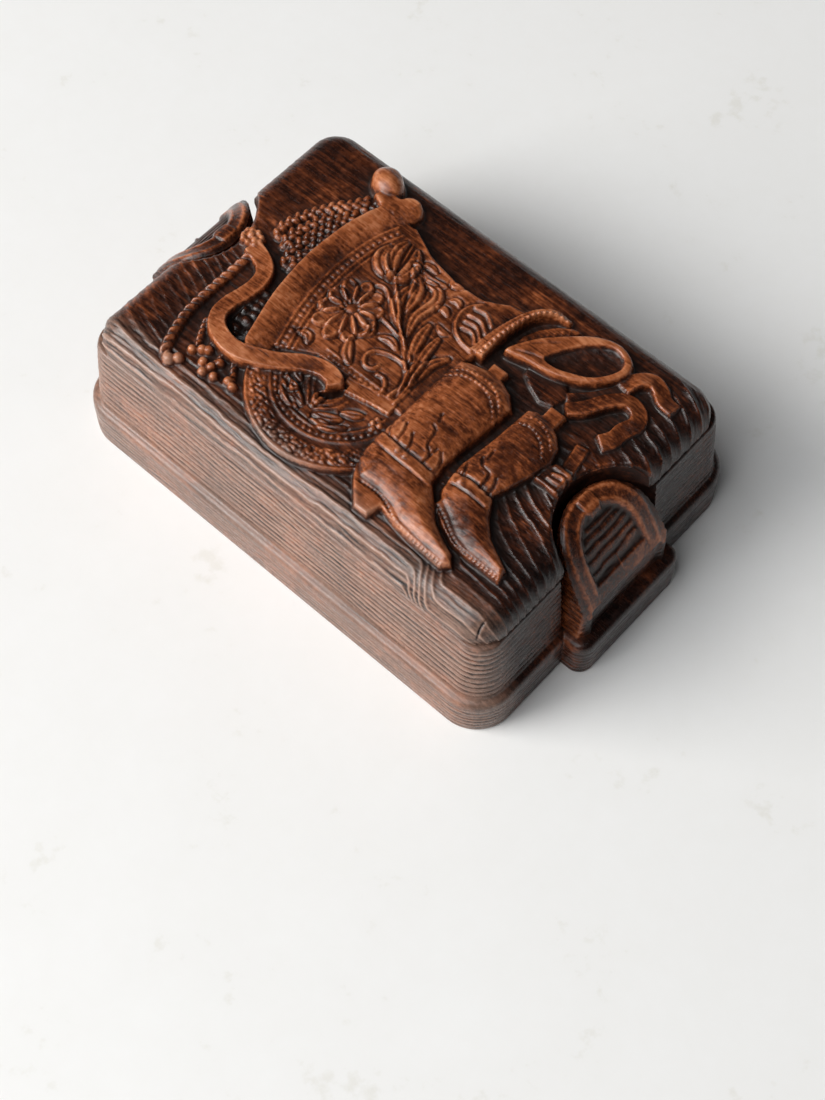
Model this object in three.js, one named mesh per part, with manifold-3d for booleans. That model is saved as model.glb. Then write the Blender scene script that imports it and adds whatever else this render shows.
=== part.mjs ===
// A moulded-wood jewelry box: a plinthed base with a stirrup lug at each end, and a hinged lid that
// carries a low relief of a saddle, a lariat, ribbons and a pair of riding boots.
// Millimetres, +Z up. The origin is the middle of the underside, +X runs along the box, and the
// hinge is on the +Y side.
import * as THREE from 'three';
import { mergeVertices } from 'three/addons/utils/BufferGeometryUtils.js';
import Module from 'manifold-3d';

const wasm = await Module();
wasm.setup();

// ---- driving dimensions ----
const LENGTH = 178;            // plinth, along X, without the lugs
const WIDTH = 126.6;           // plinth, along Y
const PLINTH_TOP = 17;
const SEAM = 45.5;             // top of the base, where the lid rests
const LID_TOP = 54.7;          // the flat ground of the lid, below its relief
const CORNER = 13.7;           // plinth corner radius in plan
const LEDGE = 2.9;             // how far the plinth stands out from the sides
const DRAFT = 2.7;             // how far each side leans in between plinth and seam
const SHOULDER = 1.5;          // bevel along the plinths' upper edges
const GAP = 0.3;               // clearance between pieces that touch

const WALL = 5.5;              // rim thickness at the seam
const LID_WALL = 6;            // the lid's rim, from the base's outside at the seam to the lid's hollow
const LID_SETBACK = 0.4;       // how far the lid's sides are inside the base's
const CAVITY_CORNER = 8;       // plan radius of the hollows' corners
const FLOOR = 6;               // thickness of the base's floor
const LID_CEILING = 51.5;      // inside of the lid
const LID_EDGE = 8.1;          // rounding of the lid's edge
const LINING = 0.8;            // thickness of the fabric linings
const FELT = 1;                // thickness of the pad under the base
const FELT_INSET = 8;          // from the plinth's side to the felt's recess

const LUG_TOP = 51.8;          // crown of a stirrup lug
const LUG_CENTRE = 87;         // X where a lug's arch starts
const LUG_LENGTH = 17.6;       // from there to the arch's apex, at the crown
const LUG_HALF = 18;           // half width of the arch, at the crown
const LUG_FLARE = 3.6;         // how far the lug's sides lean out on their way down to the plinth
const LUG_FACE = 92.4;         // X of the lug's upright face at the plinth's top
const LUG_PLINTH = 97.2;       // X of the face of the lug's own plinth
const LUG_PLINTH_HALF = 24.6;
const LUG_PLINTH_CORNER = 5;
const PLINTH_ROOT = 60;        // X inside the box's own plinth where a lug's plinth starts
const CREST = 71;              // X of the crown's highest line
const CURL = 0.05;             // how fast the crown curls down beyond it
const BAND = 6.2;              // width of the stirrup's raised band
const BAND_RISE = 1.6;         // how far the band stands above the wood inside it
const PANEL_REACH = 2.6;       // how far the sunken panel runs past LUG_CENTRE
const FAR_LUG_OUT = 4;         // how much further out the -X lug stands than the +X one
const FAR_LUG_SIDE = -1.5;     // how far it is off the middle, along Y
const NOTCH_GAP = 2.9;         // clearance between a lug and the lid's notch
const NOTCH_WALL = 3;          // the lid's wall round the notch
const SLOT_GAP = 4.9;          // clearance between a lug and the base's own wall round it
const SLOT_WALL = 3.5;         // the base's wall round that slot

const HINGE_X = 46;            // each hinge's distance from the middle
const LEAF_LENGTH = 24;
const LEAF_DEPTH = 4.4;
const LEAF = 1;                // leaf thickness
const KNUCKLE = 1.2;           // knuckle radius
const PIN = 0.5;               // pin radius
const HINGE_INSET = 0.7;       // how far the hinges' axis is inside the base's back face, at the seam
const CHAMFER = 1.3;           // bevel along the back rim, which clears the lid as it opens
const SCREW_X = 7.5;           // each screw's distance from its hinge's middle
const SCREW_HEAD = 1.3;        // head radius
const SCREW_SHANK = 0.7;       // shank radius
const SCREW_LENGTH = 4;

const seamHalf = { x: LENGTH / 2 - LEDGE - DRAFT, y: WIDTH / 2 - LEDGE - DRAFT };
const inside = (half, distance) => ({ x: half.x - distance, y: half.y - distance });
const lidHalf = inside(seamHalf, LID_SETBACK);
const cavityHalf = inside(seamHalf, WALL);
const lidCavityHalf = inside(seamHalf, LID_WALL);
const hingeY = seamHalf.y - HINGE_INSET;
const hingeZ = SEAM + GAP / 2;
const leafY = hingeY - LEAF_DEPTH;
const screwY = leafY + LEAF_DEPTH / 2 - 0.5;
const hinges = [['left', -HINGE_X], ['right', HINGE_X]];
const screwSides = [['outer', 1], ['inner', -1]];

// ---- solids ----
function solid(geometry) {
  const bare = geometry.index ? geometry.toNonIndexed() : geometry.clone();
  bare.deleteAttribute('normal');
  bare.deleteAttribute('uv');
  const merged = mergeVertices(bare, 1e-4);
  return new wasm.Manifold(new wasm.Mesh({
    numProp: 3,
    vertProperties: new Float32Array(merged.attributes.position.array),
    triVerts: new Uint32Array(merged.index.array),
  }));
}

function geometryOf(manifold) {
  const mesh = manifold.getMesh();
  const geometry = new THREE.BufferGeometry();
  geometry.setAttribute('position', new THREE.BufferAttribute(mesh.vertProperties, 3));
  geometry.setIndex(new THREE.BufferAttribute(mesh.triVerts, 1));
  return geometry;
}

function box(x0, x1, y0, y1, z0, z1) {
  const geometry = new THREE.BoxGeometry(x1 - x0, y1 - y0, z1 - z0);
  geometry.translate((x0 + x1) / 2, (y0 + y1) / 2, (z0 + z1) / 2);
  return solid(geometry);
}

function roundedRect(halfX, halfY, radius) {
  const shape = new THREE.Shape();
  shape.moveTo(halfX, radius - halfY);
  shape.lineTo(halfX, halfY - radius);
  shape.absarc(halfX - radius, halfY - radius, radius, 0, Math.PI / 2);
  shape.lineTo(radius - halfX, halfY);
  shape.absarc(radius - halfX, halfY - radius, radius, Math.PI / 2, Math.PI);
  shape.lineTo(-halfX, radius - halfY);
  shape.absarc(radius - halfX, radius - halfY, radius, Math.PI, 1.5 * Math.PI);
  shape.lineTo(halfX - radius, -halfY);
  shape.absarc(halfX - radius, radius - halfY, radius, 1.5 * Math.PI, 2 * Math.PI);
  return shape;
}

// The shape as straight segments, without the doubled points where its arcs meet its lines.
function outlineOf(shape, curve) {
  const all = shape.extractPoints(curve).shape;
  const apart = 0.01;
  return new THREE.Shape(all.filter((point, i) => point.distanceTo(all[(i + 1) % all.length]) > apart));
}

// A prism from z0 to z1. Its top edge leans in by inset over the last rise of its height.
function prism(shape, z0, z1, { rise = 0, inset = 0, steps = 1, curve = 5 } = {}) {
  const geometry = new THREE.ExtrudeGeometry(outlineOf(shape, curve), {
    depth: z1 - z0 - rise + 1,
    steps: 1,
    bevelEnabled: rise > 0,
    bevelThickness: rise,
    bevelSize: inset,
    bevelOffset: -inset,
    bevelSegments: steps,
  });
  geometry.translate(0, 0, z0 - 1);
  const reach = 300;
  return solid(geometry).intersect(box(-reach, reach, -reach, reach, z0, z1 + reach));
}

// ---- stirrup lugs ----
// Half an ellipse with its apex towards the middle of the box, closed by a straight outer end.
function archShape(grow, endX) {
  const shape = new THREE.Shape();
  const halfWidth = LUG_HALF + grow;
  shape.moveTo(endX, -halfWidth);
  shape.lineTo(endX, halfWidth);
  shape.lineTo(LUG_CENTRE, halfWidth);
  shape.absellipse(LUG_CENTRE, 0, LUG_LENGTH + grow, halfWidth, Math.PI / 2, 1.5 * Math.PI);
  return shape;
}

// The lug's crown seen from the side: level at the apex, then curling down to the tread.
function crownHeight(x) {
  return LUG_TOP - CURL * (x - CREST) ** 2;
}

// Everything that is at least drop below the crown.
function underCrown(drop) {
  const profile = new THREE.Shape();
  const start = CREST - 11;
  const end = LUG_FACE + 10;
  const step = 2.7;
  profile.moveTo(start, -1);
  profile.lineTo(end, -1);
  profile.lineTo(end, crownHeight(LUG_FACE) - drop);
  for (let x = LUG_FACE; x > CREST; x -= step) profile.lineTo(x, crownHeight(x) - drop);
  profile.lineTo(CREST, LUG_TOP - drop);
  profile.lineTo(start, LUG_TOP - drop);
  const span = 80;
  const geometry = new THREE.ExtrudeGeometry(profile, { depth: span, bevelEnabled: false });
  geometry.rotateX(Math.PI / 2);
  geometry.translate(0, span / 2, 0);
  return solid(geometry);
}

function lugSolid() {
  const block = prism(archShape(LUG_FLARE, LUG_FACE), 0, LUG_TOP + 1, {
    rise: LUG_TOP - PLINTH_TOP + 1, inset: LUG_FLARE,
  });
  const crowned = block.intersect(underCrown(0));
  const well = prism(archShape(-BAND, LUG_CENTRE + PANEL_REACH), PLINTH_TOP, LUG_TOP + 5)
    .subtract(underCrown(BAND_RISE));
  const stub = { halfLength: 3.4, halfWidth: 3.2, corner: 0.8, fromApex: 4.4, aside: 1, rise: 0.9 };
  const strapStub = prism(roundedRect(stub.halfLength, stub.halfWidth, stub.corner), SEAM - 1, LUG_TOP + 1)
    .translate([LUG_CENTRE - LUG_LENGTH + stub.fromApex, stub.aside, 0])
    .intersect(underCrown(-stub.rise));
  return crowned.subtract(well).add(strapStub);
}

function lugPlinth() {
  const length = LUG_PLINTH - PLINTH_ROOT;
  const shape = roundedRect(length / 2, LUG_PLINTH_HALF, LUG_PLINTH_CORNER);
  return prism(shape, 0, PLINTH_TOP, { rise: SHOULDER, inset: SHOULDER, steps: 2 })
    .translate([LUG_PLINTH - length / 2, 0, 0]);
}

function bothEnds(manifold) {
  return manifold.add(manifold.mirror([1, 0, 0]));
}

// The +X lug's shape, and its counterpart at -X, which stands further out and a little to one side.
function bothLugs(manifold) {
  return manifold.add(manifold.mirror([1, 0, 0]).translate([-FAR_LUG_OUT, FAR_LUG_SIDE, 0]));
}

// ---- the two shells ----
function cavity(half, bulge, z0, z1) {
  const hollow = prism(roundedRect(half.x, half.y, CAVITY_CORNER), z0, z1, { curve: 4 });
  const lugSide = prism(archShape(bulge, LUG_CENTRE + 20), z0 - 1, z1 + 1);
  return hollow.subtract(bothLugs(lugSide));
}

function leafRecess(x, z0, z1) {
  const half = LEAF_LENGTH / 2 + GAP;
  return box(x - half, x + half, leafY - GAP, seamHalf.y + 4, z0, z1);
}

function knuckleRecess(x) {
  const half = LEAF_LENGTH / 2 + GAP;
  const geometry = new THREE.CylinderGeometry(KNUCKLE + GAP, KNUCKLE + GAP, 2 * half, 16);
  geometry.rotateZ(Math.PI / 2);
  geometry.translate(x, hingeY, hingeZ);
  return solid(geometry);
}

// A long wedge that takes the sharp corner off the base's back rim.
function backBevel() {
  const wedge = new THREE.Shape();
  const over = 0.1;
  const beyond = seamHalf.y + 1;
  wedge.moveTo(seamHalf.y - CHAMFER, SEAM + over);
  wedge.lineTo(beyond, SEAM + over);
  wedge.lineTo(beyond, SEAM - CHAMFER);
  const length = 2 * seamHalf.x;
  const geometry = new THREE.ExtrudeGeometry(wedge, { depth: length, bevelEnabled: false });
  geometry.applyMatrix4(new THREE.Matrix4().set(0, 0, 1, -length / 2, 1, 0, 0, 0, 0, 1, 0, 0, 0, 0, 0, 1));
  return solid(geometry);
}

function screwHole(x, z0, z1) {
  const radius = SCREW_SHANK + GAP;
  const geometry = new THREE.CylinderGeometry(radius, radius, z1 - z0, 10);
  geometry.rotateX(Math.PI / 2);
  geometry.translate(x, screwY, (z0 + z1) / 2);
  return solid(geometry);
}

function feltShape(gap) {
  return roundedRect(LENGTH / 2 - FELT_INSET - gap, WIDTH / 2 - FELT_INSET - gap, CAVITY_CORNER);
}

function baseShell() {
  const body = roundedRect(LENGTH / 2 - LEDGE, WIDTH / 2 - LEDGE, CORNER - LEDGE);
  const plinth = roundedRect(LENGTH / 2, WIDTH / 2, CORNER);
  const slot = prism(archShape(SLOT_GAP, LUG_CENTRE + 20), PLINTH_TOP, SEAM + 1);
  const lugs = bothLugs(lugSolid()).intersect(box(-LUG_FACE, LUG_FACE, -WIDTH, WIDTH, 0, LUG_TOP + 5));
  let shell = prism(body, 0, SEAM, { rise: SEAM - PLINTH_TOP, inset: DRAFT })
    .subtract(bothLugs(slot))
    .add(prism(plinth, 0, PLINTH_TOP, { rise: SHOULDER, inset: SHOULDER, steps: 2 }))
    .add(bothEnds(lugPlinth()))
    .add(lugs)
    .subtract(cavity(cavityHalf, SLOT_GAP + SLOT_WALL, FLOOR, SEAM + 20));
  shell = shell.subtract(prism(feltShape(0), -1, FELT + GAP)).subtract(backBevel());
  for (const [, x] of hinges) {
    shell = shell.subtract(leafRecess(x, SEAM - LEAF - GAP, SEAM + 1)).subtract(knuckleRecess(x));
    for (const [, side] of screwSides) {
      shell = shell.subtract(screwHole(x + side * SCREW_X, SEAM - SCREW_LENGTH - 2 * GAP, SEAM));
    }
  }
  return shell;
}

function lidShell() {
  const bottom = SEAM + GAP;
  const outline = roundedRect(lidHalf.x, lidHalf.y, CORNER - LEDGE);
  let lid = prism(outline, bottom, LID_TOP, { rise: LID_EDGE, inset: LID_EDGE, steps: 5 })
    .add(relief());
  const notch = prism(archShape(NOTCH_GAP, LUG_CENTRE + 20), bottom - 2, LID_TOP + 20, { curve: 8 });
  lid = lid.subtract(cavity(lidCavityHalf, NOTCH_GAP + NOTCH_WALL, bottom - 1, LID_CEILING))
    .subtract(bothLugs(notch));
  for (const [, x] of hinges) {
    lid = lid.subtract(leafRecess(x, bottom - 1, bottom + LEAF + GAP)).subtract(knuckleRecess(x));
    for (const [, side] of screwSides) {
      lid = lid.subtract(screwHole(x + side * SCREW_X, bottom, bottom + SCREW_LENGTH + 2 * GAP));
    }
  }
  return lid;
}

// ---- the lid's relief, in simple raised forms ----
const points = (list) => list.map(([x, y]) => new THREE.Vector2(x, y));

function raised(outline, height, { samples = 44, sink = 2 } = {}) {
  const curve = new THREE.SplineCurve(points([...outline, outline[0]]));
  const shape = new THREE.Shape(curve.getSpacedPoints(samples).slice(0, -1));
  return prism(shape, LID_TOP - sink, LID_TOP + height, { rise: 1.2, inset: 0.8 });
}

function band(line, width, height, samples = 18) {
  const curve = new THREE.SplineCurve(points(line));
  const left = [];
  const right = [];
  for (let i = 0; i <= samples; i += 1) {
    const at = curve.getPointAt(i / samples);
    const along = curve.getTangentAt(i / samples);
    const across = new THREE.Vector2(-along.y, along.x).multiplyScalar(width / 2);
    left.push(at.clone().add(across));
    right.unshift(at.clone().sub(across));
  }
  return prism(new THREE.Shape([...left, ...right]), LID_TOP - 2, LID_TOP + height);
}

function dome(x, y, radiusX, radiusY, centreZ, radiusZ) {
  const geometry = new THREE.SphereGeometry(1, 14, 8);
  geometry.rotateX(Math.PI / 2);
  geometry.scale(radiusX, radiusY, radiusZ);
  geometry.translate(x, y, LID_TOP + centreZ);
  return solid(geometry);
}

const saddleOutline = [
  [-39, -31], [-43, -20], [-46, -10], [-48, 0], [-48.5, 10], [-47, 25], [-44, 35], [-40, 42], [-35, 44.5],
  [-29, 39], [-19, 34.5], [-6, 32], [5, 33], [13, 37], [22, 30], [20, 17], [15, 8], [14, -18], [0, -28],
  [-20, -30],
];
const cantle = [[17, 16], [17.5, 25], [18.5, 33], [21, 39.5], [25.5, 43.5], [30, 45]];
const swell = [[-35, -30], [-40, -20], [-43, -8], [-44.5, 4], [-44.5, 16], [-42.5, 28], [-39, 38], [-36, 43]];
const stirrupStrap = [
  [-65, -0.5], [-58.5, -2.5], [-54.5, -5.5], [-53, -10.5], [-53.5, -16.5], [-54.5, -21.5], [-54, -26.5],
  [-50.5, -31], [-44.5, -33.5], [-38.5, -33.5], [-32.5, -31], [-26.5, -27.5], [-20.5, -23], [-14.5, -21],
  [-9.5, -21.5], [-7, -23.5],
];
const rope = [[-63, -4], [-63, -13], [-63, -23], [-62.5, -32], [-60.5, -40], [-57.5, -47], [-54, -49]];
const lariat = [[-46, 40], [-50.5, 34], [-54, 28], [-56.5, 22], [-57.5, 16], [-58, 10]];
const loop = [
  [22.5, 22.5], [26.5, 24.5], [30.5, 28], [33, 32], [35.5, 36.5], [38.5, 41.5], [42.5, 46.5], [47.5, 49],
  [52.5, 48.5], [54.5, 44.5], [54.5, 39.5], [52.5, 35.5], [49.5, 31.5], [45.5, 28.5], [41.5, 26.5], [37.5, 25],
];
const upperRibbon = [[58, 39], [59.5, 43], [62, 45.8], [65, 46.5], [67.5, 44.5], [70, 41.5], [73, 41], [76, 42]];
const lowerRibbon = [
  [49, 19], [53, 23], [57, 29], [61, 34], [65, 35.3], [69, 34], [70.5, 31], [68, 27], [66.5, 23], [66, 18], [64, 15],
];
const nearBoot = [
  [14, 10.5], [17, 12], [22, 13.5], [29, 13.5], [34, 11.5], [38, 7.5], [37.5, -2], [36.5, -12], [35.8, -21],
  [37, -28], [42, -32.5], [47, -37.5], [52, -40], [57, -42], [59.5, -45], [57, -47.8], [46, -47.2], [38, -46.2],
  [31, -44.5], [29.5, -49.5], [24.3, -49.5], [17.5, -42.5], [13.5, -34], [13.5, -26], [13.6, -16], [13.3, -4],
];
const farBoot = [
  [41, 11], [44, 12.5], [49, 12.2], [54, 10], [57.5, 6.5], [59, 1], [57.5, -6], [55.5, -13], [53.5, -19],
  [57.5, -25.5], [62.5, -30.5], [68.5, -33.5], [72.5, -35.5], [73, -40], [60, -40], [48, -38], [40, -28],
  [38.5, -18], [40, -5],
];

function skirt() {
  const radius = 31.3;
  const disc = new THREE.Shape().absarc(-7, -19.5, radius, 0, 2 * Math.PI);
  return prism(disc, LID_TOP - 2, LID_TOP + 2.2, { rise: 1, inset: 1, curve: 28 })
    .intersect(box(-60, 16, -60, -14, LID_TOP - 2, LID_TOP + 3));
}

function relief() {
  return raised(saddleOutline, 3.4)
    .add(skirt())
    .add(band(swell, 8, 5.4))
    .add(band(cantle, 4, 6))
    .add(dome(-48.5, 46, 7, 5, 3.6, 3.9))
    .add(band(lariat, 11, 3.4))
    .add(band(stirrupStrap, 5.4, 3.8, 26))
    .add(band(rope, 3, 2.6))
    .add(band(loop, 3.4, 4.4, 26))
    .add(band(upperRibbon, 4.6, 3))
    .add(band(lowerRibbon, 4.6, 3.2))
    .add(raised(nearBoot, 5.6, { samples: 60 }))
    .add(raised(farBoot, 4.8, { samples: 50 }));
}

// ---- linings ----
function wallLining() {
  const top = SEAM - 0.6;
  const bottom = FLOOR + LINING + 2 * GAP;
  const bulge = SLOT_GAP + SLOT_WALL;
  return cavity(inside(cavityHalf, GAP), bulge + GAP, bottom, top)
    .subtract(cavity(inside(cavityHalf, GAP + LINING), bulge + GAP + LINING, bottom - 1, top + 1));
}

function floorLining() {
  return cavity(inside(cavityHalf, GAP), SLOT_GAP + SLOT_WALL + GAP, FLOOR + GAP, FLOOR + GAP + LINING);
}

function lidLining() {
  const top = LID_CEILING - GAP;
  return cavity(inside(lidCavityHalf, GAP), NOTCH_GAP + NOTCH_WALL + GAP, top - LINING, top);
}

function undersideFelt() {
  return prism(feltShape(GAP), 0, FELT);
}

// ---- hinges ----
function alongX(radius, length, x, segments = 16) {
  const geometry = new THREE.CylinderGeometry(radius, radius, length, segments);
  geometry.rotateZ(Math.PI / 2);
  geometry.translate(x, hingeY, hingeZ);
  return solid(geometry);
}

// One leaf lies on each rim. The base's leaf has the two end knuckles, the lid's leaf the middle one.
function hingeLeaf(x, isLid) {
  const z0 = isLid ? SEAM + GAP : SEAM - LEAF;
  const half = LEAF_LENGTH / 2;
  const third = LEAF_LENGTH / 3;
  let leaf = box(x - half, x + half, leafY, hingeY - KNUCKLE - GAP, z0, z0 + LEAF);
  const spans = isLid ? [[0, third - 2 * GAP]] : [[-third, third - 2 * GAP], [third, third - 2 * GAP]];
  for (const [offset, length] of spans) {
    const reach = box(x + offset - length / 2, x + offset + length / 2, leafY, hingeY, z0, z0 + LEAF);
    leaf = leaf.add(reach).add(alongX(KNUCKLE, length, x + offset));
  }
  leaf = leaf.subtract(alongX(PIN + GAP, LEAF_LENGTH + 2, x, 12));
  for (const [, side] of screwSides) {
    leaf = leaf.subtract(screwHole(x + side * SCREW_X, z0 - 1, z0 + LEAF + 1));
    const seat = new THREE.CylinderGeometry(SCREW_HEAD + GAP, SCREW_HEAD + GAP, LEAF, 12);
    seat.rotateX(Math.PI / 2);
    seat.translate(x + side * SCREW_X, screwY, isLid ? z0 : z0 + LEAF);
    leaf = leaf.subtract(solid(seat));
  }
  return leaf;
}

function hingePin(x) {
  return alongX(PIN, LEAF_LENGTH, x, 12);
}

// A screw's profile is turned on its axis. Its head is on the seam side of the leaf.
function hingeScrew(x, isLid) {
  const head = 0.45;
  const tip = 0.2;
  const profile = points([
    [0, 0], [SCREW_HEAD, 0], [SCREW_HEAD, head - 0.1], [SCREW_SHANK, head + 0.1], [SCREW_SHANK, SCREW_LENGTH - 0.8],
    [tip, SCREW_LENGTH], [0, SCREW_LENGTH],
  ]);
  const geometry = new THREE.LatheGeometry(profile, 10);
  geometry.rotateX(isLid ? Math.PI / 2 : -Math.PI / 2);
  geometry.translate(x, screwY, isLid ? SEAM + GAP : SEAM);
  return solid(geometry);
}

// ---- assembly ----
const finishes = {
  wood: { color: 0x4a2418, roughness: 0.42, metalness: 0 },
  lining: { color: 0x5a1420, roughness: 0.95, metalness: 0 },
  felt: { color: 0x20301f, roughness: 0.95, metalness: 0 },
  brass: { color: 0xb08d4a, roughness: 0.35, metalness: 1 },
  steel: { color: 0x9a8a6a, roughness: 0.4, metalness: 1 },
};

const jewelryBox = new THREE.Group();

function place(name, manifold, finish) {
  const volume = manifold.volume();
  if (volume <= 0) throw new Error(`${name} is inside out or empty`);
  const mesh = new THREE.Mesh(geometryOf(manifold), new THREE.MeshStandardMaterial(finishes[finish]));
  mesh.name = name;
  jewelryBox.add(mesh);
}

place('base_shell', baseShell(), 'wood');
place('lid_shell', lidShell(), 'wood');
place('floor_lining', floorLining(), 'lining');
place('wall_lining', wallLining(), 'lining');
place('lid_lining', lidLining(), 'lining');
place('underside_felt', undersideFelt(), 'felt');
for (const [side, x] of hinges) {
  place(`${side}_hinge_base_leaf`, hingeLeaf(x, false), 'brass');
  place(`${side}_hinge_lid_leaf`, hingeLeaf(x, true), 'brass');
  place(`${side}_hinge_pin`, hingePin(x), 'steel');
  for (const [end, direction] of screwSides) {
    const screwX = x + direction * SCREW_X;
    place(`${side}_hinge_base_screw_${end}`, hingeScrew(screwX, false), 'brass');
    place(`${side}_hinge_lid_screw_${end}`, hingeScrew(screwX, true), 'brass');
  }
}

export default jewelryBox;
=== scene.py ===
"""The visual model of a moulded-wood jewelry box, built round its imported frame.

The shells are height fields: a flat sheet of fine cells is given the relief, rolled over the lid's
edge or round the base, closed, and cut to shape. Working sizes are millimetres, in the frame's
axes, and every mesh is written in metres.
"""
import math

import bpy
import numpy as np
from mathutils import Matrix, Vector


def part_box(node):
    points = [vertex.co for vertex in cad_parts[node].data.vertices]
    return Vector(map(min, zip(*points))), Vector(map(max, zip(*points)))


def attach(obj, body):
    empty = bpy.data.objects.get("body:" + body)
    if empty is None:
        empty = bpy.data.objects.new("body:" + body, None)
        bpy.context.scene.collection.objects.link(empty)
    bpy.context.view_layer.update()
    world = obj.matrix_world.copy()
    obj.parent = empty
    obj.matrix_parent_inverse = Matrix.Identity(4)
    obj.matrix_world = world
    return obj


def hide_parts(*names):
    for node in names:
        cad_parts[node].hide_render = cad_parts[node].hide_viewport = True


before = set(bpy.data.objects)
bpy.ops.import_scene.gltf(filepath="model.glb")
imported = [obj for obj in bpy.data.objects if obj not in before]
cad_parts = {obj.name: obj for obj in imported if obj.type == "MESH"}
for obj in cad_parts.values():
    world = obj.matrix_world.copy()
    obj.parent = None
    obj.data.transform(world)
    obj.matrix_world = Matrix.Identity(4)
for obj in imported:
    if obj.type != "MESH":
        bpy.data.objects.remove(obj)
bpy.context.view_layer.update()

MM = 0.001
FINE = 0.34       # cell size of the lid's relief
MEDIUM = 0.45     # cell size of the base's sides


def node_box(node):
    """A CAD node's low and high corners."""
    low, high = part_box(node)
    return np.array(low) / MM, np.array(high) / MM


# ---- sizes read from the frame ----
_, base_high = node_box("base_shell")
lid_low, lid_high = node_box("lid_shell")
_, felt_high = node_box("underside_felt")
floor_low, floor_high = node_box("floor_lining")
_, ceiling_high = node_box("lid_lining")
wall_low, wall_high = node_box("wall_lining")

RELIEF_TOP = 7.5                         # the horn, the highest form on the lid
GROUND = lid_high[2] - RELIEF_TOP        # the lid's flat ground
LID_X, LID_Y = lid_high[0], lid_high[1]  # the lid's half sizes at its rim
LID_RIM = lid_low[2]
LID_EDGE = 8.1                           # radius of the lid's rolled edge
LID_CORNER = 10.8                        # plan radius of the lid's corners
SEAM = LID_RIM - 0.3                     # top of the base, a small gap under the lid

PLINTH_Y = base_high[1]                  # half width of the plinth
LUG_END = base_high[0]                   # face of the lugs' plinths
PLINTH_X = LUG_END - 8.2                 # half length of the plinth
PLINTH_TOP = 17.0
PLINTH_CORNER = 13.7
LEDGE = 2.9
DRAFT = 2.7

LUG_CENTRE = LUG_END - 10.2              # X where a lug's arch starts
LUG_LENGTH = 17.6
LUG_HALF = 18.0
LUG_CROWN = GROUND - 2.9                 # top of a lug's arch
LUG_CREST = 71                           # X where the crown is highest
LUG_CURL = 0.05                          # how fast it falls away from there
LUG_FLARE = 3.6
LUG_FACE = LUG_END - 4.8
LUG_PLINTH_HALF = 24.6
FAR_LUG_OUT, FAR_LUG_SIDE = 4.0, -1.5    # the -X lug stands further out, and a little to one side
NOTCH_GAP = 2.9
SLOT_GAP = 4.9                           # the base's own clearance round a lug

CLEAR = 0.3                              # gap between pieces that don't touch
CAVITY_X, CAVITY_Y = wall_high[0] + CLEAR, wall_high[1] + CLEAR
CAVITY_FLOOR = floor_low[2] - CLEAR
LID_CAVITY_X, LID_CAVITY_Y = ceiling_high[0] + CLEAR, ceiling_high[1] + CLEAR
LID_CEILING = ceiling_high[2] + CLEAR
CAVITY_CORNER = 8.0
BULGE = 8.4                              # how far the case's hollow stands off a lug's arch
LID_BULGE = 5.9                          # and the lid's


# ---- small numeric tools ----
def smooth(value, low, high):
    """0 below low, 1 above high, and an S-curve in between."""
    t = np.clip((value - low) / (high - low), 0, 1)
    return t * t * (3 - 2 * t)


def lattice_noise(x, y, size, seed):
    """Smooth noise from -1 to 1, with features about size across."""
    table = np.random.default_rng(seed).uniform(-1, 1, (256, 256))
    u, v = x / size + 1000, y / size + 1000
    i, j = np.floor(u).astype(int), np.floor(v).astype(int)
    s, t = u - i, v - j
    s, t = s * s * (3 - 2 * s), t * t * (3 - 2 * t)
    at = lambda di, dj: table[(i + di) % 256, (j + dj) % 256]
    low = at(0, 0) * (1 - s) + at(1, 0) * s
    high = at(0, 1) * (1 - s) + at(1, 1) * s
    return low * (1 - t) + high * t


def noise(x, y, size, seed, octaves=3):
    """Smooth noise with finer noise on top of it."""
    total = sum(lattice_noise(x, y, size / 2**k, seed + k) / 2**k for k in range(octaves))
    return total / 1.6


def pebbles(x, y, size, seed):
    """Rounded grains, 1 at each grain's middle and 0 between grains."""
    table = np.random.default_rng(seed).uniform(0.2, 0.8, (64, 64, 2))
    u, v = x / size + 640, y / size + 640
    i, j = np.floor(u).astype(int), np.floor(v).astype(int)
    best = np.full(u.shape, 9.0)
    for di in (-1, 0, 1):
        for dj in (-1, 0, 1):
            centre = table[(i + di) % 64, (j + dj) % 64]
            gap = np.hypot(u - i - di - centre[..., 0], v - j - dj - centre[..., 1])
            best = np.minimum(best, gap)
    return 1 - smooth(best, 0.15, 0.75)


def curve(points, closed=False, per=7):
    """A smooth line through the points."""
    p = np.array(points, float)
    if closed:
        p = np.vstack([p[-1], p, p[0], p[1]])
    else:
        p = np.vstack([2 * p[0] - p[1], p, 2 * p[-1] - p[-2]])
    t = np.linspace(0, 1, per, endpoint=False)[:, None]
    parts = []
    for a, b, c, d in zip(p[:-3], p[1:-2], p[2:-1], p[3:]):
        parts.append(0.5 * (2 * b + (c - a) * t + (2 * a - 5 * b + 4 * c - d) * t**2
                            + (3 * b - a - 3 * c + d) * t**3))
    line = np.vstack(parts)
    return line if closed else np.vstack([line, p[-2]])


def run_along(line):
    """The length of a line up to each of its points."""
    return np.concatenate([[0], np.cumsum(np.hypot(*np.diff(line, axis=0).T))])


def points_at(marks, run, line):
    """The line's points at the given lengths along it."""
    return np.stack([np.interp(marks, run, line[:, k]) for k in (0, 1)], 1)


def circle(x, y, radius_x, radius_y, count=40):
    a = np.linspace(0, 2 * np.pi, count, endpoint=False)
    return np.stack([x + radius_x * np.cos(a), y + radius_y * np.sin(a)], 1)


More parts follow.
